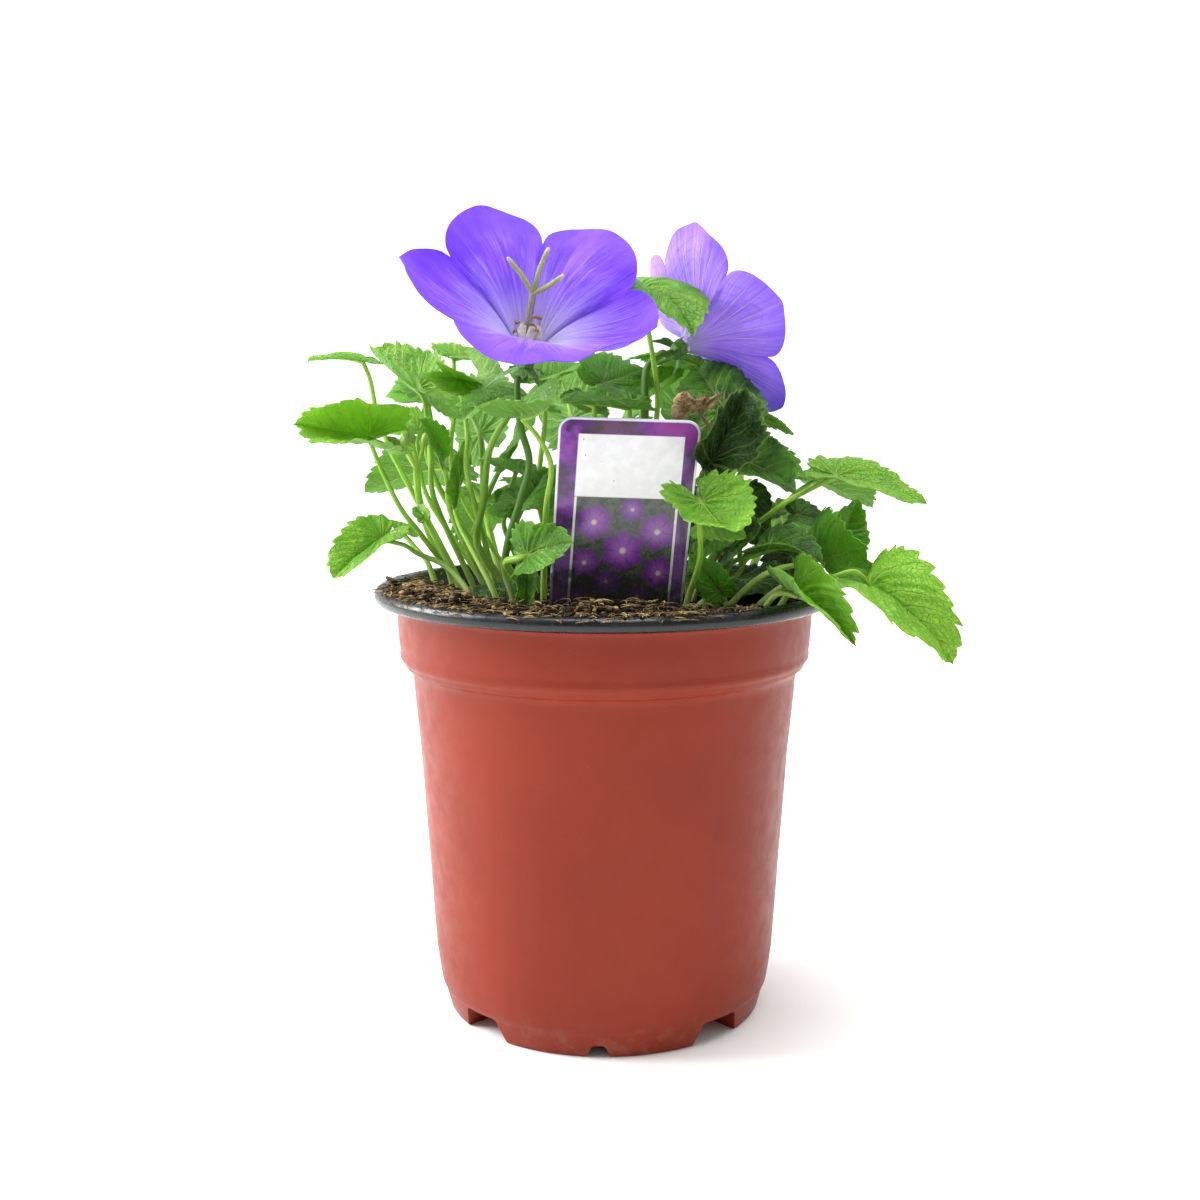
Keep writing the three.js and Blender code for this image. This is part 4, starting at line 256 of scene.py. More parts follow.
LABEL = dict(o=(2.58, -19.82, 104), x=(0.9995, 0, -0.0331), y=(0.0327, -0.1574, 0.987), z=(-0.0052, -0.9875, -0.1573), lean=1.9)


# ------------------------------------------------------------------ node helpers
T = None


class X:
    """A float or vector socket with arithmetic."""

    def __init__(self, s):
        self.s = s

    def __add__(self, o):
        return m("ADD", self, o)

    def __radd__(self, o):
        return m("ADD", o, self)

    def __sub__(self, o):
        return m("SUBTRACT", self, o)

    def __rsub__(self, o):
        return m("SUBTRACT", o, self)

    def __mul__(self, o):
        return m("MULTIPLY", self, o)

    def __rmul__(self, o):
        return m("MULTIPLY", o, self)

    def __truediv__(self, o):
        return m("DIVIDE", self, o)


def put(sock, a):
    if isinstance(a, X):
        T.links.new(a.s, sock)
    else:
        sock.default_value = a


def m(kind, *args, clamp=False):
    n = T.nodes.new("ShaderNodeMath")
    n.operation = kind
    n.use_clamp = clamp
    for i, a in enumerate(args):
        put(n.inputs[i], a)
    return X(n.outputs[0])


def mabs(a):
    return m("ABSOLUTE", a)


def mx(a, b):
    return m("MAXIMUM", a, b)


def mn(a, b):
    return m("MINIMUM", a, b)


def ss(x, a, b, lo=0.0, hi=1.0):
    """Smooth step of x from a to b, a may be above b."""
    n = T.nodes.new("ShaderNodeMapRange")
    n.interpolation_type = "SMOOTHSTEP"
    put(n.inputs["Value"], x)
    if not isinstance(a, X) and not isinstance(b, X) and a > b:
        a, b, lo, hi = b, a, hi, lo
    put(n.inputs["From Min"], a)
    put(n.inputs["From Max"], b)
    put(n.inputs["To Min"], lo)
    put(n.inputs["To Max"], hi)
    return X(n.outputs["Result"])


def attr(name):
    n = T.nodes.new("ShaderNodeAttribute")
    n.attribute_type = "GEOMETRY"
    n.attribute_name = name
    return X(n.outputs["Vector"])


def sep(v):
    n = T.nodes.new("ShaderNodeSeparateXYZ")
    put(n.inputs[0], v)
    return X(n.outputs[0]), X(n.outputs[1]), X(n.outputs[2])


def comb(x, y, z):
    n = T.nodes.new("ShaderNodeCombineXYZ")
    put(n.inputs[0], x)
    put(n.inputs[1], y)
    put(n.inputs[2], z)
    return X(n.outputs[0])


def place():
    """Object coordinates in metres."""
    n = T.nodes.new("ShaderNodeTexCoord")
    return X(n.outputs["Object"])


def noise(v, scale, detail=3.0, rough=0.55, distort=0.0):
    n = T.nodes.new("ShaderNodeTexNoise")
    put(n.inputs["Vector"], v)
    n.inputs["Scale"].default_value = scale
    n.inputs["Detail"].default_value = detail
    n.inputs["Roughness"].default_value = rough
    n.inputs["Distortion"].default_value = distort
    return X(n.outputs["Fac"])


def cells(v, scale, feature="F1"):
    n = T.nodes.new("ShaderNodeTexVoronoi")
    n.feature = feature
    put(n.inputs["Vector"], v)
    n.inputs["Scale"].default_value = scale
    return X(n.outputs["Distance"])


def lin(c):
    out = []
    for v in c:
        v = v / 255.0
        out.append(v / 12.92 if v <= 0.04045 else ((v + 0.055) / 1.055) ** 2.4)
    return (*out, 1.0)


def mix(f, a, b, kind="MIX"):
    """Colour mix; a and b are sRGB triples or sockets."""
    n = T.nodes.new("ShaderNodeMix")
    n.data_type = "RGBA"
    n.blend_type = kind
    n.clamp_factor = True
    put(n.inputs[0], f)
    put(n.inputs[6], a if isinstance(a, X) else lin(a))
    put(n.inputs[7], b if isinstance(b, X) else lin(b))
    return X(n.outputs[2])


def material(name, color, rough=0.5, bump=None, bump_dist=0.0005, translucent=0.0, trans_color=None,
             spec=0.5, coat=0.0, coat_rough=0.1, sheen=0.0, sss=0.0, sss_radius=(1, 1, 1), sss_scale=0.002):
    bs = T.nodes.new("ShaderNodeBsdfPrincipled")
    put(bs.inputs["Base Color"], color if isinstance(color, X) else lin(color))
    put(bs.inputs["Roughness"], rough)
    bs.inputs["Specular IOR Level"].default_value = spec
    if coat:
        bs.inputs["Coat Weight"].default_value = coat
        bs.inputs["Coat Roughness"].default_value = coat_rough
    if sheen:
        bs.inputs["Sheen Weight"].default_value = sheen
    if sss:
        bs.inputs["Subsurface Weight"].default_value = sss
        bs.inputs["Subsurface Radius"].default_value = sss_radius
        bs.inputs["Subsurface Scale"].default_value = sss_scale
    shade = bs.outputs[0]
    nrm = None
    if bump is not None:
        b = T.nodes.new("ShaderNodeBump")
        b.inputs["Strength"].default_value = 1.0
        b.inputs["Distance"].default_value = bump_dist
        put(b.inputs["Height"], bump)
        nrm = b.outputs[0]
        T.links.new(nrm, bs.inputs["Normal"])
    if translucent:
        tr = T.nodes.new("ShaderNodeBsdfTranslucent")
        put(tr.inputs["Color"], trans_color if trans_color is not None else color)
        if nrm is not None:
            T.links.new(nrm, tr.inputs["Normal"])
        mixer = T.nodes.new("ShaderNodeMixShader")
        mixer.inputs[0].default_value = translucent
        T.links.new(shade, mixer.inputs[1])
        T.links.new(tr.outputs[0], mixer.inputs[2])
        shade = mixer.outputs[0]
    out = T.nodes.new("ShaderNodeOutputMaterial")
    T.links.new(shade, out.inputs["Surface"])


def begin(name):
    global T
    mat = bpy.data.materials.new(name)
    mat.use_nodes = True
    T = mat.node_tree
    T.nodes.clear()
    return mat


# ------------------------------------------------------------------ mesh helpers
class Soup:
    """Collects parts of one mesh with per-point attributes lc and tn, both vectors."""

    def __init__(self):
        self.v, self.f, self.mi, self.lc, self.tn, self.n = [], [], [], [], [], 0

    def add(self, v, faces, lc=None, tn=None, mi=0):
        v = np.asarray(v, float)
        k = len(v)
        self.v.append(v)
        self.lc.append(np.zeros((k, 3)) if lc is None else np.asarray(lc, float))
        if tn is None:
            t = np.zeros((k, 3))
        else:
            t = np.asarray(tn, float)
            if t.ndim == 1:
                t = np.tile(t, (k, 1))
        self.tn.append(t)
        n = self.n
        if isinstance(faces, np.ndarray):
            faces = faces.tolist()
        self.f.extend([tuple(i + n for i in q) for q in faces])
        if isinstance(mi, int):
            self.mi.extend([mi] * len(faces))
        else:
            self.mi.extend(list(mi))
        self.n += k

    def build(self, name, mats, replaces=(), slot=None, smooth=True, angle=None):
        me = bpy.data.meshes.new(name)
        v = np.concatenate(self.v) * MM
        me.from_pydata(v.tolist(), [], self.f)
        for key, arr in (("lc", self.lc), ("tn", self.tn)):
            a = me.attributes.new(key, "FLOAT_VECTOR", "POINT")
            a.data.foreach_set("vector", np.concatenate(arr).astype(np.float32).ravel())
        me.polygons.foreach_set("material_index", np.array(self.mi, dtype=np.int32))
        me.polygons.foreach_set("use_smooth", np.full(len(self.f), bool(smooth)))
        for mt in mats:
            me.materials.append(mt)
        me.update()
        if angle is not None:
            me.set_sharp_from_angle(angle=math.radians(angle))
        ob = bpy.data.objects.new(name, me)
        SC.collection.objects.link(ob)
        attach(ob, "root")
        if replaces:
            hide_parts(*replaces)
        return ob


def unit(a):
    return a / np.linalg.norm(a)


def curve(points, n):
    """Uniform Catmull-Rom through the points, n samples."""
    P = np.array(points, float)
    if len(P) == 2:
        P = np.array([P[0], (P[0] + P[1]) / 2, P[1]])
    Q = np.vstack([2 * P[0] - P[1], P, 2 * P[-1] - P[-2]])
    k = len(P) - 1
    out = []
    for t in np.linspace(0, k, n):
        i = min(int(t), k - 1)
        u = t - i
        a, b, c, d = Q[i], Q[i + 1], Q[i + 2], Q[i + 3]
        out.append(.5 * (2 * b + (c - a) * u + (2 * a - 5 * b + 4 * c - d) * u * u + (3 * b - a - 3 * c + d) * u ** 3))
    return np.array(out)


def tube(S, path, radii, sides=8, mi=0, tn=None, cap=True, bumps=0.0, seed=0, flat=1.0, grow=None):
    """A round tube along path; radii is a list as long as path."""
    P = np.asarray(path, float)
    n = len(P)
    R = np.asarray(radii, float) if np.ndim(radii) else np.full(n, float(radii))
    tg = np.gradient(P, axis=0)
    tg /= np.linalg.norm(tg, axis=1)[:, None] + 1e-12
    up = np.array([0.0, 0.0, 1.0])
    if abs(tg[0] @ up) > .9:
        up = np.array([0.0, 1.0, 0.0])
    a = unit(np.cross(tg[0], up))
    rings, lc = [], []
    ang = np.arange(sides) * 2 * math.pi / sides
    length = np.concatenate([[0], np.cumsum(np.linalg.norm(np.diff(P, axis=0), axis=1))])
    for i in range(n):
        a = unit(a - tg[i] * (a @ tg[i]))
        b = np.cross(tg[i], a)
        r = np.full(sides, R[i])
        if bumps:
            r = r * np.array([1 + bumps * mnoise.noise(Vector((math.cos(q) * 1.7, math.sin(q) * 1.7, length[i] * 1.9 + seed))) for q in ang])
        rings.append(P[i] + (np.cos(ang) * r)[:, None] * a + (np.sin(ang) * r * flat)[:, None] * b)
        lc.append(np.stack([np.cos(ang), np.sin(ang), np.full(sides, length[i])], 1))
    v = np.concatenate(rings)
    q = []
    for i in range(n - 1):
        for j in range(sides):
            k = (j + 1) % sides
            q.append((i * sides + j, i * sides + k, (i + 1) * sides + k, (i + 1) * sides + j))
    l = np.concatenate(lc)
    if cap:
        v = np.vstack([v, P[0], P[-1]])
        l = np.vstack([l, [0, 0, 0], [0, 0, length[-1]]])
        c0, c1 = n * sides, n * sides + 1
        for j in range(sides):
            k = (j + 1) % sides
            q.append((c0, k, j))
            q.append((c1, (n - 1) * sides + j, (n - 1) * sides + k))
    t = np.zeros((len(v), 3)) if tn is None else np.tile(np.asarray(tn, float), (len(v), 1))
    S.add(v, q, l, t, mi)
    return v


# ------------------------------------------------------------------ leaf
MARGIN_ANGLE = [0, 8, 16, 28, 42, 58, 75, 92, 110, 128, 146, 160, 170, 176, 180]
MARGIN_RADIUS = [1, .955, .885, .785, .69, .615, .565, .53, .50, .465, .41, .335, .22, .13, .09]
_pa = np.radians(np.arange(-20, 200.5, .5))
_pr = np.interp(np.abs(np.degrees(_pa)), MARGIN_ANGLE, MARGIN_RADIUS)
_k = np.hanning(17)
_k /= _k.sum()
_pr = np.convolve(np.pad(_pr, 8, mode="edge"), _k, mode="valid")
_pr += .006 * np.exp(-(_pa / .12) ** 2)


def frame_of(leaf):
    B, Tp, N = (np.array(leaf[k], float) for k in ("b", "t", "n"))
    d = Tp - B
    chord = np.linalg.norm(d)
    d /= chord
    h = leaf["bend"] / 2
    T0 = math.cos(h) * d + math.sin(h) * N
    N0 = math.cos(h) * N - math.sin(h) * d
    S = np.cross(T0, N0)
    L = chord * (h / math.sin(h) if abs(h) > 1e-4 else 1)
    return B, T0, N0, S, L


def blade_point(leaf, f, x, y, dz):
    B, T0, N0, S, L = f
    b = leaf["bend"] if abs(leaf["bend"]) > 1e-4 else 1e-4
    th = b * y / L
    P = B + (L / b * np.sin(th))[:, None] * T0 - (L / b * (1 - np.cos(th)))[:, None] * N0
    N = np.cos(th)[:, None] * N0 + np.sin(th)[:, None] * T0
    hw = leaf["w"] / 2
    q, s = np.abs(x) / hw, np.sign(x)
    g = leaf["fold"] + leaf["diff"] * s
    k = leaf["curl"] if abs(leaf["curl"]) >= 1e-3 else 1e-3
    lat = hw / k * (np.sin(g + k * q) - np.sin(g))
    up = hw / k * (np.cos(g) - np.cos(g + k * q))
    a = (g + k * q) * np.minimum(1, q / 0.08)
    return P + (s * lat - dz * s * np.sin(a))[:, None] * S + (up + dz * np.cos(a))[:, None] * N


def vein_phase(X_, Y_):
    """Bulge between the veins, 0 on a vein and 1 halfway, from the blade's own coordinates."""
    ax = np.abs(X_)
    t = Y_ - .8 * ax - .9 * ax * ax
    pin = np.abs(((t + .09) / .18) % 1 - .5) * 2
    phi = np.degrees(np.arctan2(ax, Y_))
    r = np.hypot(X_, Y_)
    fan = np.abs(((phi + 14 * r - 46 + 17.5) / 35) % 1 - .5) * 2
    w = np.clip((t - .05) / .08, 0, 1)
    side = (1 - pin) * w + (1 - fan) * (1 - w)
    side = 1 - side
    return np.minimum(1, np.minimum(1 - np.exp(-(side / .34) ** 2), 1 - np.exp(-(ax / .05) ** 2)))


def blade_lift(leaf, Xn, Yn, rr, dry=False):
    """Relief of the blade in mm: raised between the veins, a wavy margin, uneven all over."""
    size = max(frame_of(leaf)[4], leaf["w"])
    seed = leaf["seed"]
    e1, e2, e3 = np.random.RandomState(seed + 500).uniform(0, 6.28, 3)
    x, y = Xn * leaf["w"] / 1.13, Yn * frame_of(leaf)[4]
    h = vein_phase(Xn, Yn) * (1 - rr ** 6 * .6) * np.clip(rr / .18, 0, 1) * (.019 * size + .09)
    phv = np.arctan2(Xn, Yn)
    wave = (np.sin(phv * 5 + e1) * .5 + np.sin(phv * 9 + e2) * .3 + np.sin(phv * 3 + e3) * .6) * rr ** 2.2 * np.clip((math.pi - np.abs(phv)) / .5, 0, 1)
    h = h + wave * .027 * size
    nz = np.array([mnoise.noise(Vector((a * .16, b * .16, seed * 3.7))) + .35 * mnoise.noise(Vector((a * .45, b * .45, seed * 1.7))) for a, b in zip(x, y)])
    h = h + nz * .045 * size * rr
    if dry:
        nz2 = np.array([mnoise.noise(Vector((a * .42, b * .42, seed * 1.3))) for a, b in zip(x, y)])
        nz3 = np.array([mnoise.noise(Vector((a * 1.3, b * 1.3, seed * 5.3))) for a, b in zip(x, y)])
        h = h + nz2 * 1.9 * np.clip(rr * 2, 0, 1) + nz3 * .5
    return h


def leaf_blade(S, leaf, per=6, nr=15, thick=.42, dry=False):
    f = frame_of(leaf)
    L, w = f[4], leaf["w"]
    seed = leaf["seed"]
    rs = np.random.RandomState(seed)
    nt = int(np.clip(round(5.5 + .34 * max(L, w)), 8, 14))
    fine = np.radians(np.linspace(0, 180, 721))
    rb = np.interp(fine, _pa, _pr)
    px, py = rb * np.sin(fine) * w / 1.13, rb * np.cos(fine) * L
    arc = np.concatenate([[0], np.cumsum(np.hypot(np.diff(px), np.diff(py)))])
    arc /= arc[-1]
    knots_t = [0, .14, .30, .5, .7, .86]
    prof = [-.75, .15, 1.0, .72, .25, -.3]
    cols = []
    for side in (1, -1):
        edges = np.linspace(0.0, 1.0, nt + 1) + np.concatenate([[0], rs.uniform(-.018, .018, nt - 1), [0]])
        for i in range(nt):
            depth = .037 * (1 + rs.uniform(-.45, .45))
            if i == 0:
                depth *= .9
            if i >= nt - 2:
                depth *= .45
            for t, p in zip(knots_t, prof):
                s = edges[i] + (edges[i + 1] - edges[i]) * t
                ph = np.interp(s, arc, fine)
                off = depth * p
                if i == 0:
                    off = depth * (.9 if t == 0 else np.interp(t, [0, .14, .3, .5, .7, .86], [.9, .3, .1, .25, .1, -.4]))
                cols.append((side * ph, float(np.interp(ph, _pa, _pr)), off))
    cols.append((math.pi, float(np.interp(math.pi, _pa, _pr)), 0.0))
    cols.sort(key=lambda c: c[0])
    out, last = [], None
    for c in cols:
        if last is None or abs(c[0] - last) > 1e-5:
            out.append(c)
            last = c[0]
    cols = out
    PH = np.array([c[0] for c in cols])
    RB = np.array([c[1] for c in cols])
    RB = RB * (1 + .040 * np.sin(3 * PH + seed) * np.sin(PH * .5) ** 2 + .026 * np.sin(7 * PH + seed * 2.3) * np.cos(PH * .5) ** 2)
    OF = np.array([c[2] for c in cols])
    na = len(cols)
    rho = (np.arange(1, nr + 1) / nr) ** .92
    R = RB[None, :] * rho[:, None] * (1 + OF[None, :] / np.maximum(RB[None, :], .3) * rho[:, None] ** 7)
    Xn, Yn = R * np.sin(PH)[None, :], R * np.cos(PH)[None, :]
    rr = np.broadcast_to(rho[:, None], R.shape)
    Xn = np.concatenate([[0], Xn.ravel()])
    Yn = np.concatenate([[0], Yn.ravel()])
    rr = np.concatenate([[0], rr.ravel()])
    x, y = Xn * w / 1.13, Yn * L
    h = blade_lift(leaf, Xn, Yn, rr, dry)
    t2 = thick / 2 * (1 - .6 * rr ** 8)
    top = blade_point(leaf, f, x, y, h + t2)
    low = blade_point(leaf, f, x, y, h * .95 - t2)
    lc = np.stack([Xn, Yn, np.full(len(Xn), max(L, w) / 20)], 1)
    tn = np.stack([np.full(len(Xn), leaf["tone_and_shade"]), rr, np.full(len(Xn), (seed * .37) % 1)], 1)
    k = len(x)
    F, MI = [], []
    for base, flip, mi in ((0, False, 0), (k, True, 1)):
        for j in range(na):
            j2 = (j + 1) % na
            a, b = 1 + base + j, 1 + base + j2
            F.append((base, b, a) if not flip else (base, a, b))
            MI.append(mi)
            for i in range(nr - 1):
                p, q = 1 + base + i * na + j, 1 + base + i * na + j2
                r_, s_ = q + na, p + na
                F.append((p, q, r_, s_) if not flip else (p, s_, r_, q))
                MI.append(mi)
    e = 1 + (nr - 1) * na
    for j in range(na):
        j2 = (j + 1) % na
        F.append((e + j, e + j2, k + e + j2, k + e + j))
        MI.append(0)
    S.add(np.vstack([top, low]), F, np.vstack([lc, lc]), np.vstack([tn, tn]), MI)
    return f


def leaf_stalk(S, leaf, f, path, sides=8, thick=.42, to_soil=True):
    L = f[4]
    yn = np.array([.8, .62, .44, .28, .14, .05])
    hh = blade_lift(leaf, np.zeros(6), yn, yn, leaf["k"] == "dry") * .95
    rib = blade_point(leaf, f, np.full(6, 1e-6), yn * L, hh - thick / 2 + .02 - np.array([0, .02, .06, .12, .2, .28]))
    base = blade_point(leaf, f, np.array([1e-6]), np.array([0.0]), np.array([-.35]))[0]
    pts = [base] + [np.array(p, float) for p in path]
    n = max(14, int(4 * len(pts)))
    c = curve(pts, n)
    P = np.vstack([rib, c])
    r = leaf["r"]
    u = np.linspace(0, 1, n)
    rad = np.concatenate([[.08, .14, .2, .28, .38, .5], r * (.74 + .34 * u ** 1.5)])
    rad[6] = r * .8
    if to_soil:
        rad[-3:] *= [1.05, 1.12, 1.2]
    tube(S, P, rad, sides, mi=2, tn=(leaf["tone_and_shade"], 0, (leaf["seed"] * .37) % 1), bumps=.05, seed=leaf["seed"])


# ------------------------------------------------------------------ materials
def leaf_veins():
    """Vein masks from the blade's own coordinates: midrib, side veins, fine net."""
    X_, Y_, K = sep(attr("lc"))
    # the first value of tn is the leaf's tone, partly its own green and partly painted shade
    tone_and_shade, rim, sd = sep(attr("tn"))
    wx = noise(comb(X_ * K, Y_ * K, sd * 3 + 2), 5.5, 2) - .5
    wy = noise(comb(X_ * K, Y_ * K, sd * 3 + 6), 5.5, 2) - .5
    VX, VY = X_ + wx * .035 * ss(rim, .1, .5), Y_ + wy * .06 * ss(rim, .1, .5)
    ax = mabs(VX)
    t = VY - ax * .8 - ax * ax * .9
    pin = mabs(m("FRACT", (t + .09) / .18 + 20.0) - .5)          # .5 on a vein... 0 between
    r = m("SQRT", VX * VX + VY * VY)
    phi = m("ARCTAN2", ax, VY) * (180 / math.pi)
    fan = mabs(m("FRACT", (phi + r * 14.0 - 28.5) / 35.0 + 20.0) - .5)
    pin_d = (.5 - pin) * (.18 * .7)
    fan_d = (.5 - fan) * (35 * math.pi / 180) * r
    w = ss(t, .05, .13)
    side = fan_d * (1 - w) + pin_d * w
    thick = ss(r, 1.0, .15, .0035, .0105)
    sv = ss(side, thick * 1.9, thick * .35)
    mid = ss(ax, ss(Y_, -.1, 1.0, .026, .007), ss(Y_, -.1, 1.0, .009, .002)) * ss(Y_, -.12, -.02)
    v = mx(sv * ss(rim, 1.0, .80), mid)
    wob = noise(comb(X_ * K, Y_ * K, sd * 9), 5.0, 2)
    net = cells(comb(X_ * K + wob * .05, Y_ * K + wob * .05, sd * 5), 16.0, "DISTANCE_TO_EDGE")
    net = ss(net, .10, .0)
    return X_, Y_, K, tone_and_shade, rim, sd, v, mid, net


def make_leaf_top():
    mat = begin("leaf_top")
    X_, Y_, K, tone_and_shade, rim, sd, v, mid, net = leaf_veins()
    pos = comb(X_ * K, Y_ * K, sd * 7)
    n1 = noise(pos, 2.6, 4)
    n2 = noise(pos, 22.0, 3)
    n3 = noise(pos, 9.0, 3)
    # dark to pale green by the leaf's tone: its own colour, with painted shade at the dark end
    tt = m("ADD", tone_and_shade * .5 + .5, (n1 - .5) * .75 + (n3 - .5) * .28, clamp=True)
    base = mix(ss(tt, .0, .5), (24, 58, 26), (96, 162, 38))
    base = mix(ss(tt, .5, 1.0), base, (162, 209, 70))
    base = mix(ss(n2, .35, .75) * .22, base, (126, 184, 40))
    base = mix(net * ss(tt, .0, .5, .12, .30), base, (156, 200, 76))
    base = mix(v * ss(tt, .0, .5, .26, .46), base, (184, 220, 104))
    base = mix(mid * .25, base, (196, 222, 120))
    base = mix(ss(rim, .965, 1.0) * .40, base, (170, 208, 84))
    glow = mix(ss(tt, .0, .4), (22, 60, 8), (168, 228, 40))
    h = (1 - v) * .8 + n3 * .5 + n2 * .22 - net * .34 + noise(pos, 90.0, 2) * .06
    material("leaf_top", base, rough=ss(n2, .2, .8, .34, .50), bump=h, bump_dist=.00060, translucent=.42,
             trans_color=mix(v * .4, mix(.6, base, glow), (150, 190, 60)), spec=.38)
    return mat


def make_leaf_under():
    mat = begin("leaf_under")
    X_, Y_, K, tone_and_shade, rim, sd, v, mid, net = leaf_veins()
    pos = comb(X_ * K, Y_ * K, sd * 7)
    n1 = noise(pos, 4.0, 4)
    # the underside's green also follows the leaf's tone, with painted shade at the dark end
    tt = m("ADD", tone_and_shade * .5 + .5, (n1 - .5) * .5, clamp=True)
    base = mix(ss(tt, .0, .5), (56, 88, 46), (118, 166, 72))
    base = mix(ss(tt, .5, 1.0), base, (158, 202, 106))
    base = mix(net * .25, base, (164, 200, 126))
    base = mix(v * .6, base, (192, 220, 142))
    h = v * .9 + net * .35 + n1 * .5 + noise(pos, 60.0, 2) * .15
    material("leaf_under", base, rough=.6, bump=h, bump_dist=.0004, translucent=.42,
             trans_color=mix(.5, base, mix(ss(tt, .0, .4), (30, 70, 10), (160, 216, 40))), spec=.25)
    return mat


def make_stalk():
    mat = begin("stalk")
    a, b, s = sep(attr("lc"))
    tone_and_shade, end, sd = sep(attr("tn"))
    _, _, z = sep(place())
    streak = noise(comb(a * 1.2, b * 1.2, s * .05 + sd * 5), 3.0, 3)
    fine = noise(comb(a * 3, b * 3, s * .4 + sd * 9), 6.0, 3)
    base = mix(ss(streak, .3, .7), (130, 190, 42), (200, 230, 106))
    base = mix(ss(sd, .55, .9) * .45, base, (84, 138, 34))
    # stalks of dark-toned leaves are darkened: painted shade
    base = mix(ss(tone_and_shade, .0, -1.0) * .75, base, (44, 98, 26))
    base = mix(ss(z, .118, .105) * .5, base, (200, 208, 140))
    base = mix(ss(fine, .62, .8) * .25, base, (200, 222, 130))
    material("stalk", base, rough=.42, bump=streak * .6 + fine * .4, bump_dist=.00022, translucent=.32,
             trans_color=mix(.5, base, (180, 232, 50)), spec=.36)
    return mat


def make_dry(name="leaf_dry"):
    mat = begin(name)
    X_, Y_, K, tone_and_shade, rim, sd, v, mid, net = leaf_veins()
    pos = comb(X_ * K, Y_ * K, sd * 7)
    n1 = noise(pos, 5.0, 5)
    n2 = noise(pos, 30.0, 4)
    base = mix(ss(n1, .3, .7), (160, 130, 84), (222, 196, 146))
    base = mix(ss(n2, .55, .8) * .5, base, (84, 56, 32))
    base = mix(v * .5, base, (196, 164, 116))
    material(name, base, rough=.8, bump=n2 + n1 * .6 + net * .3, bump_dist=.0006, translucent=.15, spec=.2)
    return mat


def make_petal_in():
    mat = begin("petal_inside")
    s, aph, sn = sep(attr("lc"))
    crease_shade, u, cs = sep(attr("tn"))
    streak = noise(comb(cs * 14.5, sn * 14.5, s * 1.1), 2.2, 4, .6)
    fine = noise(comb(cs * 46, sn * 46, s * 2.6), 2.0, 4, .65)
    blot = noise(comb(cs * 3, sn * 3, s * 2), 1.6, 3)
    base = mix(ss(blot, .3, .75), (122, 58, 238), (166, 104, 252))
    sheen = noise(comb(cs * 8.0, sn * 8.0, s * 1.6 + 4), 2.4, 4, .6)
    base = mix(ss(sheen, .50, .66) * ss(u, 1.0, .55) * .55, base, (206, 164, 255))
    base = mix(ss(u, .62, 1.0) * .6, base, (114, 50, 242))
    base = mix(ss(noise(comb(cs * 30, sn * 30, s * 5), 1.5, 3), .58, .72) * ss(s, .2, .5) * .22, base, (104, 50, 214))
    band = ss(aph, .35, .78) * ss(aph, 1.0, .84)
    pale = ss(s + (streak - .5) * .28 - band * .16, .62, .12)
    base = mix(pale * .7, base, (208, 186, 252))
    base = mix(ss(s + (fine - .5) * .34, .50, .08) * .92, base, (236, 230, 252))
    base = mix(ss(fine, .54, .70) * ss(s, .9, .3) * .6, base, (232, 222, 255))
    vein = mx(ss(aph, .020, .004), ss(mabs(aph - .34), .016, .003) * .6)
    vein = mx(vein, ss(mabs(aph - .66), .016, .003) * .6) * ss(u, 1.0, .75)
    base = mix(vein * .3, base, (112, 70, 220))
    # painted shade along the folds between the lobes
    base = mix(crease_shade * .75, base, (66, 36, 150))
    speck = ss(noise(comb(cs * 5, sn * 5, s * 6), 9.0, 1), .80, .84)
    base = mix(speck * .5, base, (70, 50, 120))
    h = fine * .5 + streak * .5 - vein * .5
    material("petal_inside", base, rough=.46, bump=h, bump_dist=.00035, translucent=.36,
             trans_color=mix(.5, base, (152, 100, 252)), spec=.3, sheen=.15)
    return mat


def make_petal_out():
    mat = begin("petal_outside")
    s, aph, sn = sep(attr("lc"))
    crease_shade, u, cs = sep(attr("tn"))
    streak = noise(comb(cs * 12.5, sn * 12.5, s * 1.0), 2.2, 4, .6)
    fine = noise(comb(cs * 44, sn * 44, s * 3.0), 2.0, 4, .65)
    base = mix(ss(streak, .25, .75), (158, 112, 234), (206, 164, 255))
    base = mix(ss(u, .80, 1.0) * .45, base, (140, 92, 240))
    base = mix(ss(s, .30, .04) * .75, base, (216, 208, 240))
    wd = ss(s, 1.0, .1, .012, .034)
    vein = ss(aph, wd, wd * .25)
    for c, k in ((.30, .85), (.56, .8), (.80, .6)):
        vein = mx(vein, ss(mabs(aph - (s * (c * .42) + c * .62)), wd, wd * .25) * k)
    vein = vein * ss(u, 1.0, .62)
    side = ss(mabs(m("FRACT", s * 11 + aph * 2.6) - .5), .10, .02) * ss(u, .35, .6) * ss(u, 1.0, .8) * ss(fine, .4, .65)
    base = mix(side * .25, base, (196, 176, 244))
    base = mix(vein * .85, base, (240, 224, 255))
    # painted shade along the same folds on the outside
    base = mix(crease_shade * .5, base, (92, 62, 170))
    h = vein * .9 + fine * .3 + side * .3
    material("petal_outside", base, rough=.52, bump=h, bump_dist=.0004, translucent=.36,
             trans_color=mix(.5, base, (170, 130, 255)), spec=.28, sheen=.15)
    return mat


def make_pistil():
    mat = begin("pistil")
    a, b, s = sep(attr("lc"))
    part, u, sd = sep(attr("tn"))
    fz = noise(comb(a * 1.2, b * 1.2, s * 1.1), 4.0, 4, .7)
    base = mix(ss(fz, .3, .7), (160, 172, 72), (222, 226, 152))
    base = mix(ss(u, .80, 1.0) * part, base, (238, 232, 196))
    base = mix(ss(u, .45, .0) * (1 - part), base, (224, 208, 226))
    material("pistil", base, rough=.75, bump=fz, bump_dist=.0004, translucent=.15, spec=.25, sheen=.3)
    return mat


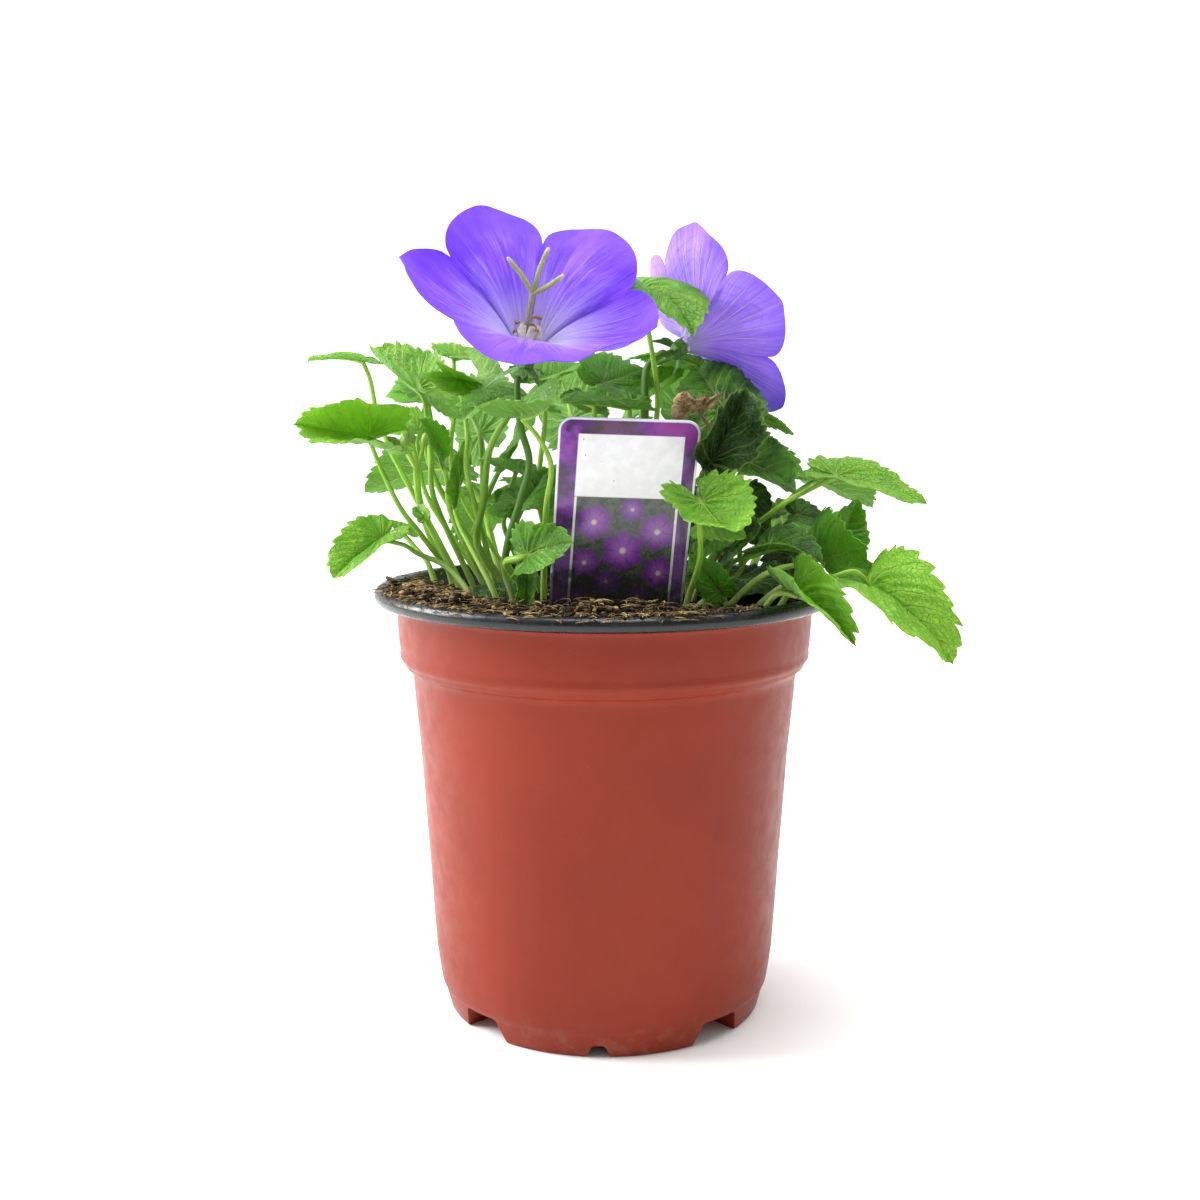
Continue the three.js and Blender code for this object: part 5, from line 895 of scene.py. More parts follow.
def make_stamen():
    mat = begin("stamens")
    a, b, s = sep(attr("lc"))
    part, u, sd = sep(attr("tn"))
    fz = noise(comb(a, b, s * .8 + sd * 4), 3.0, 4, .7)
    film = mix(ss(fz, .28, .48), (204, 182, 152), (252, 250, 246))
    dry = mix(ss(fz, .3, .7), (150, 112, 70), (226, 194, 140))
    material("stamens", mix(part, film, dry), rough=.5, bump=fz, bump_dist=.0004, translucent=.3, spec=.4)
    return mat


def make_bud():
    mat = begin("bud")
    a, b, s = sep(attr("lc"))
    part, u, sd = sep(attr("tn"))
    n1 = noise(comb(a * 1.5, b * 1.5, s * .35 + sd * 3), 3.0, 4)
    base = mix(ss(n1, .3, .7), (134, 184, 60), (190, 220, 112))
    base = mix(ss(u, .75, 1.0) * .5, base, (186, 206, 130))
    material("bud", base, rough=.5, bump=n1, bump_dist=.0003, translucent=.15, spec=.4)
    return mat


def make_calyx():
    mat = begin("calyx")
    a, b, s = sep(attr("lc"))
    part, u, sd = sep(attr("tn"))
    n1 = noise(comb(a * 2, b * 2, s * .4 + sd * 3), 3.0, 4)
    base = mix(ss(n1, .3, .7), (52, 102, 34), (116, 162, 66))
    base = mix(ss(u, .6, 1.0) * .35, base, (64, 70, 40))
    material("calyx", base, rough=.5, bump=n1, bump_dist=.0003, translucent=.1, spec=.4)
    return mat


def make_pot_out():
    mat = begin("pot_terracotta")
    p = place()
    x, y, z = sep(p)
    rough_n = noise(p, 260.0, 4, .6)
    fine = noise(p, 1800.0, 2)
    cloud = noise(p, 26.0, 4)
    base = mix(ss(cloud, .3, .7), (121, 34, 9), (130, 39, 12))
    base = mix(ss(rough_n, .55, .8) * .18, base, (112, 34, 18))
    base = mix(ss(fine, .62, .75) * .08, base, (180, 92, 64))
    # scuffs and dust: short pale marks, and dust low down
    sc = noise(comb(x * 1.0, y * 1.0, z * 5.0), 210.0, 3, .7)
    scuff = ss(sc, .74, .80) * ss(cloud, .45, .7)
    base = mix(scuff * .30, base, (214, 150, 126))
    spots = ss(cells(p, 300.0), .10, .05) * ss(noise(p, 60.0, 2), .60, .68)
    base = mix(spots * .6, base, (84, 44, 30))
    dust = ss(z, .012, .0) * ss(rough_n, .45, .65)
    base = mix(dust * .35, base, (140, 96, 74))
    h = fine * .25 + rough_n * .35 + sc * .3
    material("pot_terracotta", base, rough=ss(rough_n, .3, .7, .38, .50), bump=h, bump_dist=.00003, spec=.22)
    return mat


def make_pot_in():
    mat = begin("pot_black")
    p = place()
    x, y, z = sep(p)
    n1 = noise(p, 300.0, 5, .65)
    n2 = noise(p, 1500.0, 2)
    front = ss(y, .01, -.045)
    dirt = ss(n1 + front * .06, .70, .78) * ss(z, .1035, .1055)
    base = mix(ss(n2, .3, .7), (7, 8, 10), (15, 17, 20))
    base = mix(dirt * .6, base, (116, 96, 68))
    material("pot_black", base, rough=ss(n1, .35, .75, .24, .40), bump=n1 * .2 + n2 * .15 + dirt, bump_dist=.00007, spec=.42)
    return mat


def make_soil():
    mat = begin("soil_mix")
    p = place()
    tone_and_shade, kind, sd = sep(attr("tn"))
    n1 = noise(p, 420.0, 5, .7)
    n2 = noise(p, 1700.0, 4, .7)
    n3 = noise(p, 120.0, 3)
    base = mix(ss(n1, .3, .7), (15, 11, 8), (50, 37, 25))
    base = mix(ss(n2, .58, .75) * .55, base, (118, 94, 66))
    base = mix(ss(n3, .6, .75) * .3, base, (60, 58, 36))
    tan = mix(ss(n2, .3, .7), (120, 92, 56), (208, 182, 130))
    base = mix(kind, base, tan)
    material("soil_mix", base, rough=.95, bump=n1 + n2 * .6, bump_dist=.0008, spec=.15)
    return mat


def make_label():
    mat = begin("label_print")
    lx, ly, face = sep(attr("lc"))
    hw = ly * (.7 / 45.62) + 15.72
    qx, qy = mabs(lx) - (hw - 3.2), ly - (45.62 - 3.2)
    qm = comb(mx(qx, 0), mx(qy, 0), 0)
    n = T.nodes.new("ShaderNodeVectorMath")
    n.operation = "LENGTH"
    T.links.new(qm.s, n.inputs[0])
    sdf = X(n.outputs["Value"]) + mn(mx(qx, qy), 0) - 3.2      # below 0 inside
    p2 = comb(lx, ly, 0)
    soft = noise(p2, .16, 3)
    mid = noise(p2, .5, 4, .6)
    # outer border: soft out-of-focus violet, darker and greener towards the right
    border = mix(ss(soft, .35, .65), (92, 38, 126), (138, 66, 166))
    border = mix(ss(noise(comb(lx + 40, ly, 3), .22, 2), .5, .66), border, (70, 42, 84))
    border = mix(ss(lx, 2.0, 9.0) * ss(ly, 36.0, 42.0) * .7, border, (158, 60, 158))
    border = mix(ss(ly, 26.0, 8.0) * .45, border, (140, 104, 184))
    border = mix(ss(lx, 11.0, 16.0) * ss(ly, 12.0, 24.0) * ss(ly, 44.0, 36.0) * .75, border, (44, 52, 40))
    border = mix(ss(mabs(lx + 3), 9.0, 3.0) * ss(ly, 40.5, 43.0) * .7, border, (84, 74, 48))
    # inner field: dark leaf green with blossoms of the label's own design
    field = mix(ss(mid, .35, .65), (44, 56, 46), (78, 88, 72))
    field = mix(ss(noise(comb(lx, ly, 9), .9, 3), .5, .7) * .5, field, (96, 108, 84))
    for k, (cx, cy, r, turn, dark) in enumerate(((-6.6, 20.9, 4.4, .2, 0), (2.2, 24.2, 3.0, .9, .3), (8.4, 19.0, 4.6, .5, .1),
                                                 (.6, 14.2, 5.1, .1, 0), (-8.2, 11.0, 3.7, 1.2, .2), (9.4, 9.0, 4.0, .7, .15),
                                                 (-2.6, 6.4, 3.3, .4, .15), (4.9, 3.2, 2.7, .2, .35), (-9.4, 3.0, 2.2, .3, .4))):
        dx, dy = lx - cx, ly - cy
        rr = m("SQRT", dx * dx + dy * dy)
        an = m("ARCTAN2", dy, dx)
        lobes = m("ABSOLUTE", m("SINE", an * 3.0 + turn))
        edge = rr / r - lobes * .17 - .80 + (mid - .5) * .25
        mask = ss(edge, .10, -.06)
        col = mix(ss(rr / r, .1, .9), (170, 96, 200), (116, 44, 150))
        col = mix(ss(lobes, .35, .05) * ss(rr / r, .2, .5) * .6, col, (86, 46, 132))
        col = mix(ss(rr / r, .20, .08), col, (226, 212, 190))
        col = mix(dark, col, (58, 40, 80))
        field = mix(mask, field, col)
    inner = ss(lx, -11.6, -11.4) * ss(lx, 12.6, 12.4) * ss(ly, 27.2, 27.0)
    panel = ss(lx, -11.7, -11.5) * ss(lx, 13.0, 12.8) * ss(ly, 26.9, 27.1) * ss(ly, 41.9, 41.7)
    lines = mx(ss(mabs(lx + 11.3), .34, .24), ss(mabs(lx - 12.4), .34, .24)) * ss(ly, 27.0, 26.8)
    art = mix(inner, border, field)
    white = mix(ss(noise(p2, .35, 3), .3, .7), (238, 237, 238), (248, 248, 248))
    art = mix(mx(panel, lines), art, white)
    art = mix(ss(sdf, -.62, -.48), art, (226, 222, 232))
    # earth: smears near the soil, darkest at the foot, partly real earth and partly painted shade; a few specks higher
    # up
    smear = noise(comb(lx, ly * .7, 2), .55, 5, .65)
    low = ss(ly + (smear - .5) * 20.0 + mx(lx, 0) * .3, 12.5, 6.0)
    art = mix(low * .80, art, mix(ss(noise(p2, 1.6, 4, .7), .58, .70), (22, 18, 14), (104, 78, 48)))
    speck = ss(noise(p2, 1.9, 3, .7), .735, .77) * ss(ly, 46.0, 20.0, .35, 1.0)
    art = mix(speck * .85, art, (84, 60, 40))
    dots = ss(cells(comb(lx + mid, ly + mid, 0), .55), .11, .07) * ss(noise(comb(lx, ly, 20), .35, 2), .50, .58)
    art = mix(dots * .85, art, (66, 44, 30))
    film = ss(noise(comb(lx, ly, 5), .8, 5, .7), .55, .72) * ss(ly, 34.0, 6.0)
    art = mix(film * .35, art, (112, 96, 84))
    # the back face also darkens towards the foot: earth and painted shade
    plain = mix(low * .8, (226, 224, 228), (60, 48, 38))
    col = mix(ss(face, .4, .6), plain, art)
    material("label_print", col, rough=ss(low + film, .0, 1.0, .26, .8), bump=low * smear + speck * .4, bump_dist=.0003, spec=.5,
             coat=.25, coat_rough=.15)
    return mat


def make_floor():
    mat = begin("floor_pale")
    p = place()
    n = noise(p, 9.0, 3)
    material("floor_pale", mix(ss(n, .3, .7), (244, 244, 244), (249, 249, 248)), rough=.75, spec=.2)
    return mat


M_TOP, M_UNDER, M_STALK, M_DRY = make_leaf_top(), make_leaf_under(), make_stalk(), make_dry()
M_PIN, M_POUT, M_PIST, M_STAM = make_petal_in(), make_petal_out(), make_pistil(), make_stamen()
M_BUD, M_CALYX = make_bud(), make_calyx()
M_POT, M_BLACK, M_SOIL, M_LABEL, M_FLOOR = make_pot_out(), make_pot_in(), make_soil(), make_label(), make_floor()


# ------------------------------------------------------------------ floor
def make_stage():
    me = bpy.data.meshes.new("floor")
    ring = [(1.15 * math.cos(i * math.pi / 48), 1.15 * math.sin(i * math.pi / 48), 0) for i in range(96)]
    me.from_pydata(ring, [], [tuple(range(96))])
    me.materials.append(M_FLOOR)
    o = bpy.data.objects.new("floor", me)
    o.location = (0, 0, -.00005)
    SC.collection.objects.link(o)


make_stage()


# ------------------------------------------------------------------ pot
def lathe_mesh(profile, seg, phase=0.0):
    """Closed solid of revolution; the profile starts and ends on the axis."""
    pr = [p for p in profile if p[0] > 1e-6]
    n = len(pr)
    ang = np.arange(seg) * 2 * math.pi / seg + phase
    v = []
    for r, z in pr:
        v.append(np.stack([r * np.cos(ang), r * np.sin(ang), np.full(seg, z)], 1))
    v = np.concatenate(v)
    bot, top = [[0, 0, profile[0][1]]], [[0, 0, profile[-1][1]]]
    v = np.vstack([v, bot, top])
    q = []
    for i in range(n - 1):
        for j in range(seg):
            k = (j + 1) % seg
            q.append((i * seg + j, i * seg + k, (i + 1) * seg + k, (i + 1) * seg + j))
    c0, c1 = n * seg, n * seg + 1
    for j in range(seg):
        k = (j + 1) % seg
        q.append((c0, k, j))
        q.append((c1, (n - 1) * seg + j, (n - 1) * seg + k))
    return v, q


def plain_object(name, v, q):
    me = bpy.data.meshes.new(name)
    me.from_pydata((np.asarray(v) * MM).tolist(), [], [tuple(f) for f in q])
    bm = bmesh.new()
    bm.from_mesh(me)
    bmesh.ops.recalc_face_normals(bm, faces=bm.faces)
    bm.to_mesh(me)
    bm.free()
    me.update()
    o = bpy.data.objects.new(name, me)
    SC.collection.objects.link(o)
    return o


def prism(section, angle, y0, y1, bevel=0):
    """A prism with its section in XZ, running along the radius at this angle."""
    n = len(section)
    v = []
    for y in (y0, y1):
        for x, z in section:
            c, s = math.cos(angle), math.sin(angle)
            v.append((c * x - s * y, s * x + c * y, z))
    q = [tuple(range(n))[::-1], tuple(range(n, 2 * n))]
    for i in range(n):
        k = (i + 1) % n
        q.append((i, k, n + k, n + i))
    return v, q


def boolean(ob, others, op):
    for o in others:
        md = ob.modifiers.new("b", "BOOLEAN")
        md.operation = op
        md.solver = "EXACT"
        md.object = o
    dg = bpy.context.evaluated_depsgraph_get()
    me = bpy.data.meshes.new_from_object(ob.evaluated_get(dg))
    ob.modifiers.clear()
    old = ob.data
    ob.data = me
    bpy.data.meshes.remove(old)
    for o in others:
        d = o.data
        bpy.data.objects.remove(o)
        bpy.data.meshes.remove(d)


OUT = [(0, 0), (38.9, 0), (39.35, .12), (39.6, .5), (40.9, 5.2), (41.2, 6.1), (41.62, 6.75), (41.8, 7.6), (42.3, 11), (42.94, 15.8), (43.67, 26.4),
       (44.47, 39.7), (45.35, 52.8), (46.18, 66.2), (47.34, 78.6), (47.78, 84.2), (47.86, 85.3), (48.1, 86.2), (48.55, 87.0),
       (49.05, 87.5), (49.5, 87.62), (49.85, 87.9), (50.05, 88.5), (50.3, 89.1), (50.72, 89.5), (51.0, 90.0), (51.08, 90.7), (51.0, 91.4), (51.05, 92.4),
       (51.25, 93.9), (51.45, 97), (51.6, 100), (51.68, 101.9), (51.9, 102.7), (52.5, 103.2), (53.6, 103.42), (55.2, 103.5), (56.2, 103.72), (56.85, 104.25),
       (57.12, 105.0), (57.1, 105.8), (56.75, 106.5), (56.15, 107.0), (55.4, 107.2), (0, 107.2)]
INN = [(0, 1), (37.6, 1), (38.3, 1.3), (40.5, 7.4), (42.3, 26.4), (43.47, 39.7), (44.4, 52.8), (46.0, 75), (46.8, 84.6), (47.2, 86.6), (48.4, 88.3),
       (49.3, 90), (50.0, 93), (50.35, 97), (50.6, 101.5), (51.0, 103.4), (51.7, 104.9), (52.6, 106.1), (53.5, 106.8), (54.6, 107.2), (54.6, 110), (0, 110)]


def chan(bottom, top, height, base=-3.0):
    s = []
    half_b, half_t = bottom / 2, top / 2
    slope = (half_t + .3 - half_b) / (height - 1.2)
    s.append((-half_b + slope * base, base) if base < 0 else (-half_b, base))
    s[0] = (-half_b - slope * base * -1, base)
    s = [(-(half_b + (-base) * (half_b - half_t) / height), base), (half_b + (-base) * (half_b - half_t) / height, base)]
    # right wall up to a rounded corner, then across
    pts = [(half_t + .35, height - 1.5), (half_t + .05, height - .75), (half_t - .45, height - .2), (half_t - 1.1, height)]
    s += pts + [(-x, z) for x, z in pts[::-1]]
    return s


def make_pot():
    turn = math.radians(-2)
    SEG = 192
    outer = plain_object("pot_shell", *lathe_mesh(OUT, SEG))
    inner = plain_object("pot_hollow", *lathe_mesh(INN, SEG, 0.0))
    a = [plain_object("c%d" % i, *prism(chan(15, 11, 5.9), math.radians(d) + turn, -60, 60)) for i, d in enumerate((45, 135))]
    b = [plain_object("d%d" % i, *prism(chan(17.2, 13.2, 6.9), math.radians(d) + turn, -60.5, 60.5)) for i, d in enumerate((45, 135))]
    boolean(inner, b, "DIFFERENCE")
    cuts = [plain_object("n%d" % i, *prism(chan(6.4, 3.6, 3.1), i * math.pi / 2 + turn, -46, -34)) for i in range(4)]
    hole_v, hole_q = lathe_mesh([(0, -2), (4, -2), (4, 12), (0, 12)], 40)
    cuts.append(plain_object("h", hole_v, hole_q))
    boolean(outer, a + [inner] + cuts, "DIFFERENCE")
    me = outer.data
    me.materials.clear()
    me.materials.append(M_POT)
    me.materials.append(M_BLACK)
    # outside terracotta (0), inside and lip black (1)
    ro = lambda z: np.interp(z, [p[1] for p in OUT[1:-1]], [p[0] for p in OUT[1:-1]])
    zc = [max(p[1], i * 1e-6) for i, p in enumerate(INN[1:-2])]
    ri = lambda z: np.interp(z, zc, [p[0] for p in INN[1:-2]])
    for poly in me.polygons:
        c = poly.center / MM
        r = math.hypot(c.x, c.y)
        z = c.z
        mid = (ro(z) + ri(z)) / 2
        nr = (poly.normal.x * c.x + poly.normal.y * c.y) / max(r, 1e-6)
        black = z > 103.3 or (z > 8.3 and r < mid)
        poly.material_index = 1 if black else 0
        poly.use_smooth = True
    me.set_sharp_from_angle(angle=math.radians(38))
    outer.name = "pot_body"
    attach(outer, "root")
    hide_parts("pot")
    return outer


make_pot()


# ------------------------------------------------------------------ soil
def lip_top(r):
    """Height of the pot's rim at this radius, from the inner wall to the lip's outer edge."""
    return np.interp(r, [50.2, 50.6, 51.0, 51.7, 52.6, 53.5, 54.6, 55.4, 56.15, 56.75, 57.1],
                     [97, 101.5, 103.4, 104.9, 106.1, 106.8, 107.2, 107.2, 107.0, 106.5, 105.8])


def soil_height(x, y):
    r = math.hypot(x, y)
    a = math.degrees(math.atan2(y, x))
    p = Vector((x, y, 0))
    h = 103.75 + .9 * mnoise.noise(p * .09) + .75 * mnoise.noise(p * .31 + Vector((5, 2, 1))) + .45 * mnoise.noise(p * .9)
    # heaped against the rim at the front and on the left, low at the back left
    front = math.exp(-((a + 88) / 30) ** 2)
    left = math.exp(-((((a + 155) + 180) % 360 - 180) / 38) ** 2)
    backleft = math.exp(-(((a - 136 + 180) % 360 - 180) / 22) ** 2)
    rim = min(1, max(0, (r - 34) / 14))
    h += rim * (3.0 * front + 3.2 * left - 1.6 * backleft)
    h += left * max(0, 1 - ((r - 44) / 9) ** 2) * (1.0 + 1.3 * mnoise.noise(p * .22 + Vector((3, 8, 2))))
    h += .5 * math.exp(-((x - 3) / 16) ** 2 - ((y + 22) / 5) ** 2)
    return h


def make_soil_bed():
    S = Soup()
    nr, na = 84, 240
    ang = np.arange(na) * 2 * math.pi / na
    rim_r = 50.25
    v = [[0, 0, soil_height(0, 0)]]
    for i in range(1, nr + 1):
        rr = rim_r * i / nr
        for t in ang:
            rj = rr + (.35 * mnoise.noise(Vector((math.cos(t) * 9, math.sin(t) * 9, i * .7))) if i < nr else 0)
            x, y = rj * math.cos(t), rj * math.sin(t)
            v.append([x, y, soil_height(x, y)])
    top = len(v)
    for r_, z in ((50.2, 100.8), (49.85, 94.1), (48.8, 89.4), (46.55, 85.9), (45.68, 75), (43.15, 39.7), (40.2, 7.7)):
        for t in ang:
            v.append([r_ * math.cos(t), r_ * math.sin(t), z])
    v.append([0, 0, 7.7])
    q = []
    for j in range(na):
        k = (j + 1) % na
        q.append((0, 1 + j, 1 + k))
        for i in range(nr - 1):
            a, b = 1 + i * na + j, 1 + i * na + k
            q.append((a, a + na, b + na, b))
        a, b = 1 + (nr - 1) * na + j, 1 + (nr - 1) * na + k
        q.append((a, top + j, top + k, b))
        for i in range(6):
            a, b = top + i * na + j, top + i * na + k
            q.append((a, a + na, b + na, b))
        q.append((top + 6 * na + j, len(v) - 1, top + 6 * na + k))
    S.add(v, q)
    return S.build("soil_bed", [M_SOIL], ("soil",), "soil")


make_soil_bed()

ICO = None


def ico():
    global ICO
    if ICO is None:
        bm = bmesh.new()
        bmesh.ops.create_icosphere(bm, subdivisions=1, radius=1.0)
        bm.verts.ensure_lookup_table()
        ICO = (np.array([v.co[:] for v in bm.verts]), [tuple(l.index for l in f.verts) for f in bm.faces])
        bm.free()
    return ICO


def crumb(S, c, r, rs, kind):
    v, q = ico()
    sc = np.array([1, rs.uniform(.55, 1), rs.uniform(.4, .85)]) * r
    seed = rs.uniform(0, 99)
    k = np.array([1 + .55 * mnoise.noise(Vector(p) * 1.4 + Vector((seed, 0, 0))) for p in v])
    w = v * k[:, None] * sc
    a, b = rs.uniform(0, 6.28), rs.uniform(-.6, .6)
    ca, sa, cb, sb = math.cos(a), math.sin(a), math.cos(b), math.sin(b)
    w = w @ np.array([[1, 0, 0], [0, cb, -sb], [0, sb, cb]]).T @ np.array([[ca, -sa, 0], [sa, ca, 0], [0, 0, 1]]).T
    S.add(w + c, q, None, (rs.uniform(0, 1), kind, seed))


def fibre(S, c, length, r, rs, kind, lift=.6):
    a = rs.uniform(0, 6.28)
    d = np.array([math.cos(a), math.sin(a), 0])
    n = 6
    side = np.array([-d[1], d[0], 0])
    bend = rs.uniform(-.35, .35) * length
    up = rs.uniform(.0, lift)
    P = []
    for t in np.linspace(-.5, .5, n):
        P.append(c + d * t * length + side * bend * (t * t * 4 - .5) * .5 + np.array([0, 0, up * (1 - 4 * t * t) * length * .2]))
    tube(S, P, [r * .5] + [r] * (n - 2) + [r * .5], 4, tn=(rs.uniform(0, 1), kind, 0), bumps=.3, seed=rs.uniform(0, 50))


def surface_z(x, y):
    r = math.hypot(x, y)
    if r < 50.3:
        return max(soil_height(x, y), float(lip_top(r)) if r > 50.2 else -1)
    return float(lip_top(min(r, 57)))


def make_crumbs():
    S = Soup()
    rs = np.random.RandomState(5)
    # over the bed
    for _ in range(1150):
        r, t = 50 * math.sqrt(rs.uniform(0, 1)), rs.uniform(0, 2 * math.pi)
        x, y = r * math.cos(t), r * math.sin(t)
        s = rs.choice([.5, .7, 1.0, 1.5], p=[.35, .35, .22, .08])
        if r > 49 - s:
            continue
        crumb(S, np.array([x, y, soil_height(x, y) + s * .15]), s, rs, 1.0 if rs.uniform() < .16 else 0.0)
    # coarse lumps of bark and peat in the heap at the left, and before the label
    for a0, wid, num, lo, hi in ((-152, 44, 330, 34, 51), (-86, 34, 110, 44, 51)):
        for _ in range(num):
            t = math.radians(a0 + rs.normal() * wid * .5)
            r = rs.uniform(lo, hi)
            x, y = r * math.cos(t), r * math.sin(t)
            s = rs.choice([.7, 1.0, 1.5, 2.0], p=[.35, .35, .22, .08])
            if r > 51.5 - s:
                continue
            crumb(S, np.array([x, y, soil_height(x, y) + s * .35]), s, rs, rs.choice([0.0, .2, .5, 1.0], p=[.56, .20, .14, .10]))
    for _ in range(60):
        t, r = math.radians(rs.uniform(-176, -128)), rs.uniform(37, 49)
        x, y = r * math.cos(t), r * math.sin(t)
        s = rs.uniform(.9, 1.7)
        crumb(S, np.array([x, y, soil_height(x, y) + s * .5]), s, rs, rs.choice([0.0, .9]))
    # heap over the rim: front, and left
    for a0, wid, num, spread in ((-84, 27, 820, .9), (-145, 30, 950, 1.0), (-58, 8, 70, .6), (-114, 16, 260, .8)):
        for _ in range(num):
            t = math.radians(a0 + rs.normal() * wid * .5)
            r = 51.0 + rs.normal() * 1.9 * spread
            r = min(max(r, 43), 56.0)
            x, y = r * math.cos(t), r * math.sin(t)
            s = rs.choice([.3, .45, .7, 1.0], p=[.35, .35, .22, .08])
            z = surface_z(x, y)
            if 49 < r < 53:
                z = max(z, 105.0 + (r - 49) * .55) + rs.uniform(-.3, .7)
            crumb(S, np.array([x, y, z + s * .3]), s, rs, rs.choice([0.0, .3, 1.0], p=[.68, .20, .12]))
    # fibres
    for a0, wid, num in ((-80, 22, 620), (-145, 34, 520), (-114, 14, 260), (-58, 8, 60), (90, 100, 60)):
        for _ in range(num):
            t = math.radians(a0 + rs.normal() * wid * .5)
            r = min(50.8 + rs.normal() * 2.7, 57.3) if a0 < 0 else rs.uniform(5, 46)
            x, y = r * math.cos(t), r * math.sin(t)
            L = rs.uniform(2.0, 5.5)
            z = surface_z(x, y) + .35 + (rs.uniform(0, 1) ** 2 * 2.4 if a0 < 0 and r < 52 else 0)
            if 49 < r < 53.5:
                z = max(z, 105.2 + (r - 49) * .5)
            fibre(S, np.array([x, y, z]), L, rs.uniform(.06, .15), rs, rs.choice([1.0, .5, .2, 0.0]))
    for _ in range(80):
        t, r = math.radians(rs.choice([rs.uniform(-158, -100), rs.uniform(-96, -58)], p=[.7, .3])), rs.uniform(52.5, 57.2)
        x, y = r * math.cos(t), r * math.sin(t)
        fibre(S, np.array([x, y, surface_z(x, y) + .25]), rs.uniform(1.2, 3.4), rs.uniform(.06, .14), rs, rs.choice([1.0, .6, .3]), .3)
    # a dark twig lying over the rim at the left
    tube(S, curve([(-55.6, 8.0, 107.6), (-53.2, 5.4, 107.0), (-50.4, 2.6, 105.9), (-47.5, .4, 104.8)], 14),
         np.linspace(.45, .65, 14), 7, tn=(.2, .15, 0), bumps=.35, seed=3)
    return S.build("soil_crumbs", [M_SOIL], (), "soil")


make_crumbs()


# ------------------------------------------------------------------ label
def make_label_piece():
    S = Soup()
    o, ex, ey, ez = (np.array(LABEL[k]) for k in ("o", "x", "y", "z"))
    lean = LABEL["lean"]
    th = .8

    def outline(inset):
        pts = []
        c = 3.2
        hw = lambda y: 15.72 + .70 * max(y, 0) / 45.62 - inset
        top = 45.62 - inset
        rr = c - inset
        for a in np.linspace(0, math.pi / 2, 10):
            pts.append((hw(43) - rr + rr * math.cos(a), top - rr + rr * math.sin(a)))
        for a in np.linspace(math.pi / 2, math.pi, 10):
            pts.append((-hw(43) + rr + rr * math.cos(a), top - rr + rr * math.sin(a)))
        pts += [(-hw(20), 20), (-hw(0), -12), (-7 + inset, -30 + inset), (7 - inset, -30 + inset), (hw(0), -12), (hw(20), 20)]
        return pts
    rings = [(.28, -th / 2), (.08, -th / 2 + .08), (0, -th / 2 + .25), (0, th / 2 - .25), (.08, th / 2 - .08), (.28, th / 2)]
    v, lc = [], []
    n = len(outline(0))
    for k, (ins, z) in enumerate(rings):
        for x, y in outline(ins):
            bow = .35 * math.cos(x / 16.4 * math.pi / 2) * min(1, max(0, y) / 30)
            P = o + ex * (x + lean * max(0, y) / 45.62 + (0 if y >= 0 else lean * y / 45.62)) + ey * y + ez * (z + 0 * bow)
            v.append(P)
            lc.append((x, y, 1.0 if z > .1 else 0.0))
    q = []
    for k in range(len(rings) - 1):
        for i in range(n):
            j = (i + 1) % n
            q.append((k * n + i, k * n + j, (k + 1) * n + j, (k + 1) * n + i))
    q.append(tuple(range(n))[::-1])
    q.append(tuple((len(rings) - 1) * n + i for i in range(n)))
    S.add(v, q, lc)
    return S.build("label_stake", [M_LABEL], ("label",), "label", angle=40)


make_label_piece()

# ------------------------------------------------------------------ leaves
def make_withered(leaf):
    """A dried leaf, shrivelled to a crumpled roll with a pointed end, on its thin dead stalk."""
    S = Soup()
    for pts, prof, seed in (
            (((16.4, -15.6, 148.4), (18.2, -15.2, 150.6), (19.6, -14.6, 152.6), (21.6, -14.2, 151.6), (24.6, -14.2, 152.4), (28.2, -15.2, 154.9)),
             ([0, .12, .3, .45, .6, .8, 1], [.4, 1.7, 2.0, 1.5, 1.7, 1.1, .08]), 3.1),
            (((18.6, -16.0, 150.4), (19.0, -16.4, 153.0), (18.6, -15.6, 155.0)), ([0, .4, .8, 1], [1.3, 1.5, 1.0, .15]), 8.4),
            (((22.0, -14.6, 150.6), (23.6, -15.2, 152.6), (25.0, -14.8, 153.2)), ([0, .4, .8, 1], [1.3, 1.1, .8, .15]), 5.7)):
        c = curve(pts, 54)
        n, sides = len(c), 40
        tg = np.gradient(c, axis=0)
        tg /= np.linalg.norm(tg, axis=1)[:, None]
        aa = unit(np.cross(tg[0], [0, 1.0, 0]))
        rad = np.interp(np.linspace(0, 1, n), *prof)
        v, lc, tn = [], [], []
        for i in range(n):
            aa = unit(aa - tg[i] * (aa @ tg[i]))
            bb = np.cross(tg[i], aa)
            for j in range(sides):
                t = j / sides * 2 * math.pi
                q = Vector((math.cos(t) * 1.2 + seed, math.sin(t) * 1.2, i * .11))
                fold = abs(math.sin(2.5 * t + i * .09 + seed)) ** .7
                k = max(.15, .40 + .62 * fold + .9 * mnoise.noise(q * 1.3)) + .25 * mnoise.noise(q * 4.5)
                v.append(c[i] + (aa * math.cos(t) * 1.05 + bb * math.sin(t) * .72) * rad[i] * k)
                lc.append((math.cos(t) * .5, i / n, .6))
                tn.append((0, .5, .3))
        q = []
        for i in range(n - 1):
            for j in range(sides):
                k = (j + 1) % sides
                q.append((i * sides + j, i * sides + k, (i + 1) * sides + k, (i + 1) * sides + j))
        q.append(tuple(range(sides))[::-1])
        q.append(tuple((n - 1) * sides + j for j in range(sides)))
        S.add(v, q, lc, tn, 0)
    path = curve([(22.2, -13.6, 150.6)] + [np.array(p, float) for p in leaf["path"]], 40)
    tube(S, path, np.linspace(.45, .75, 40), 8, mi=0, tn=(0, 0, .3), bumps=.25, seed=4)
    S.build("grown_withered_leaf", [M_DRY], ("withered_leaf",), "withered_leaf")


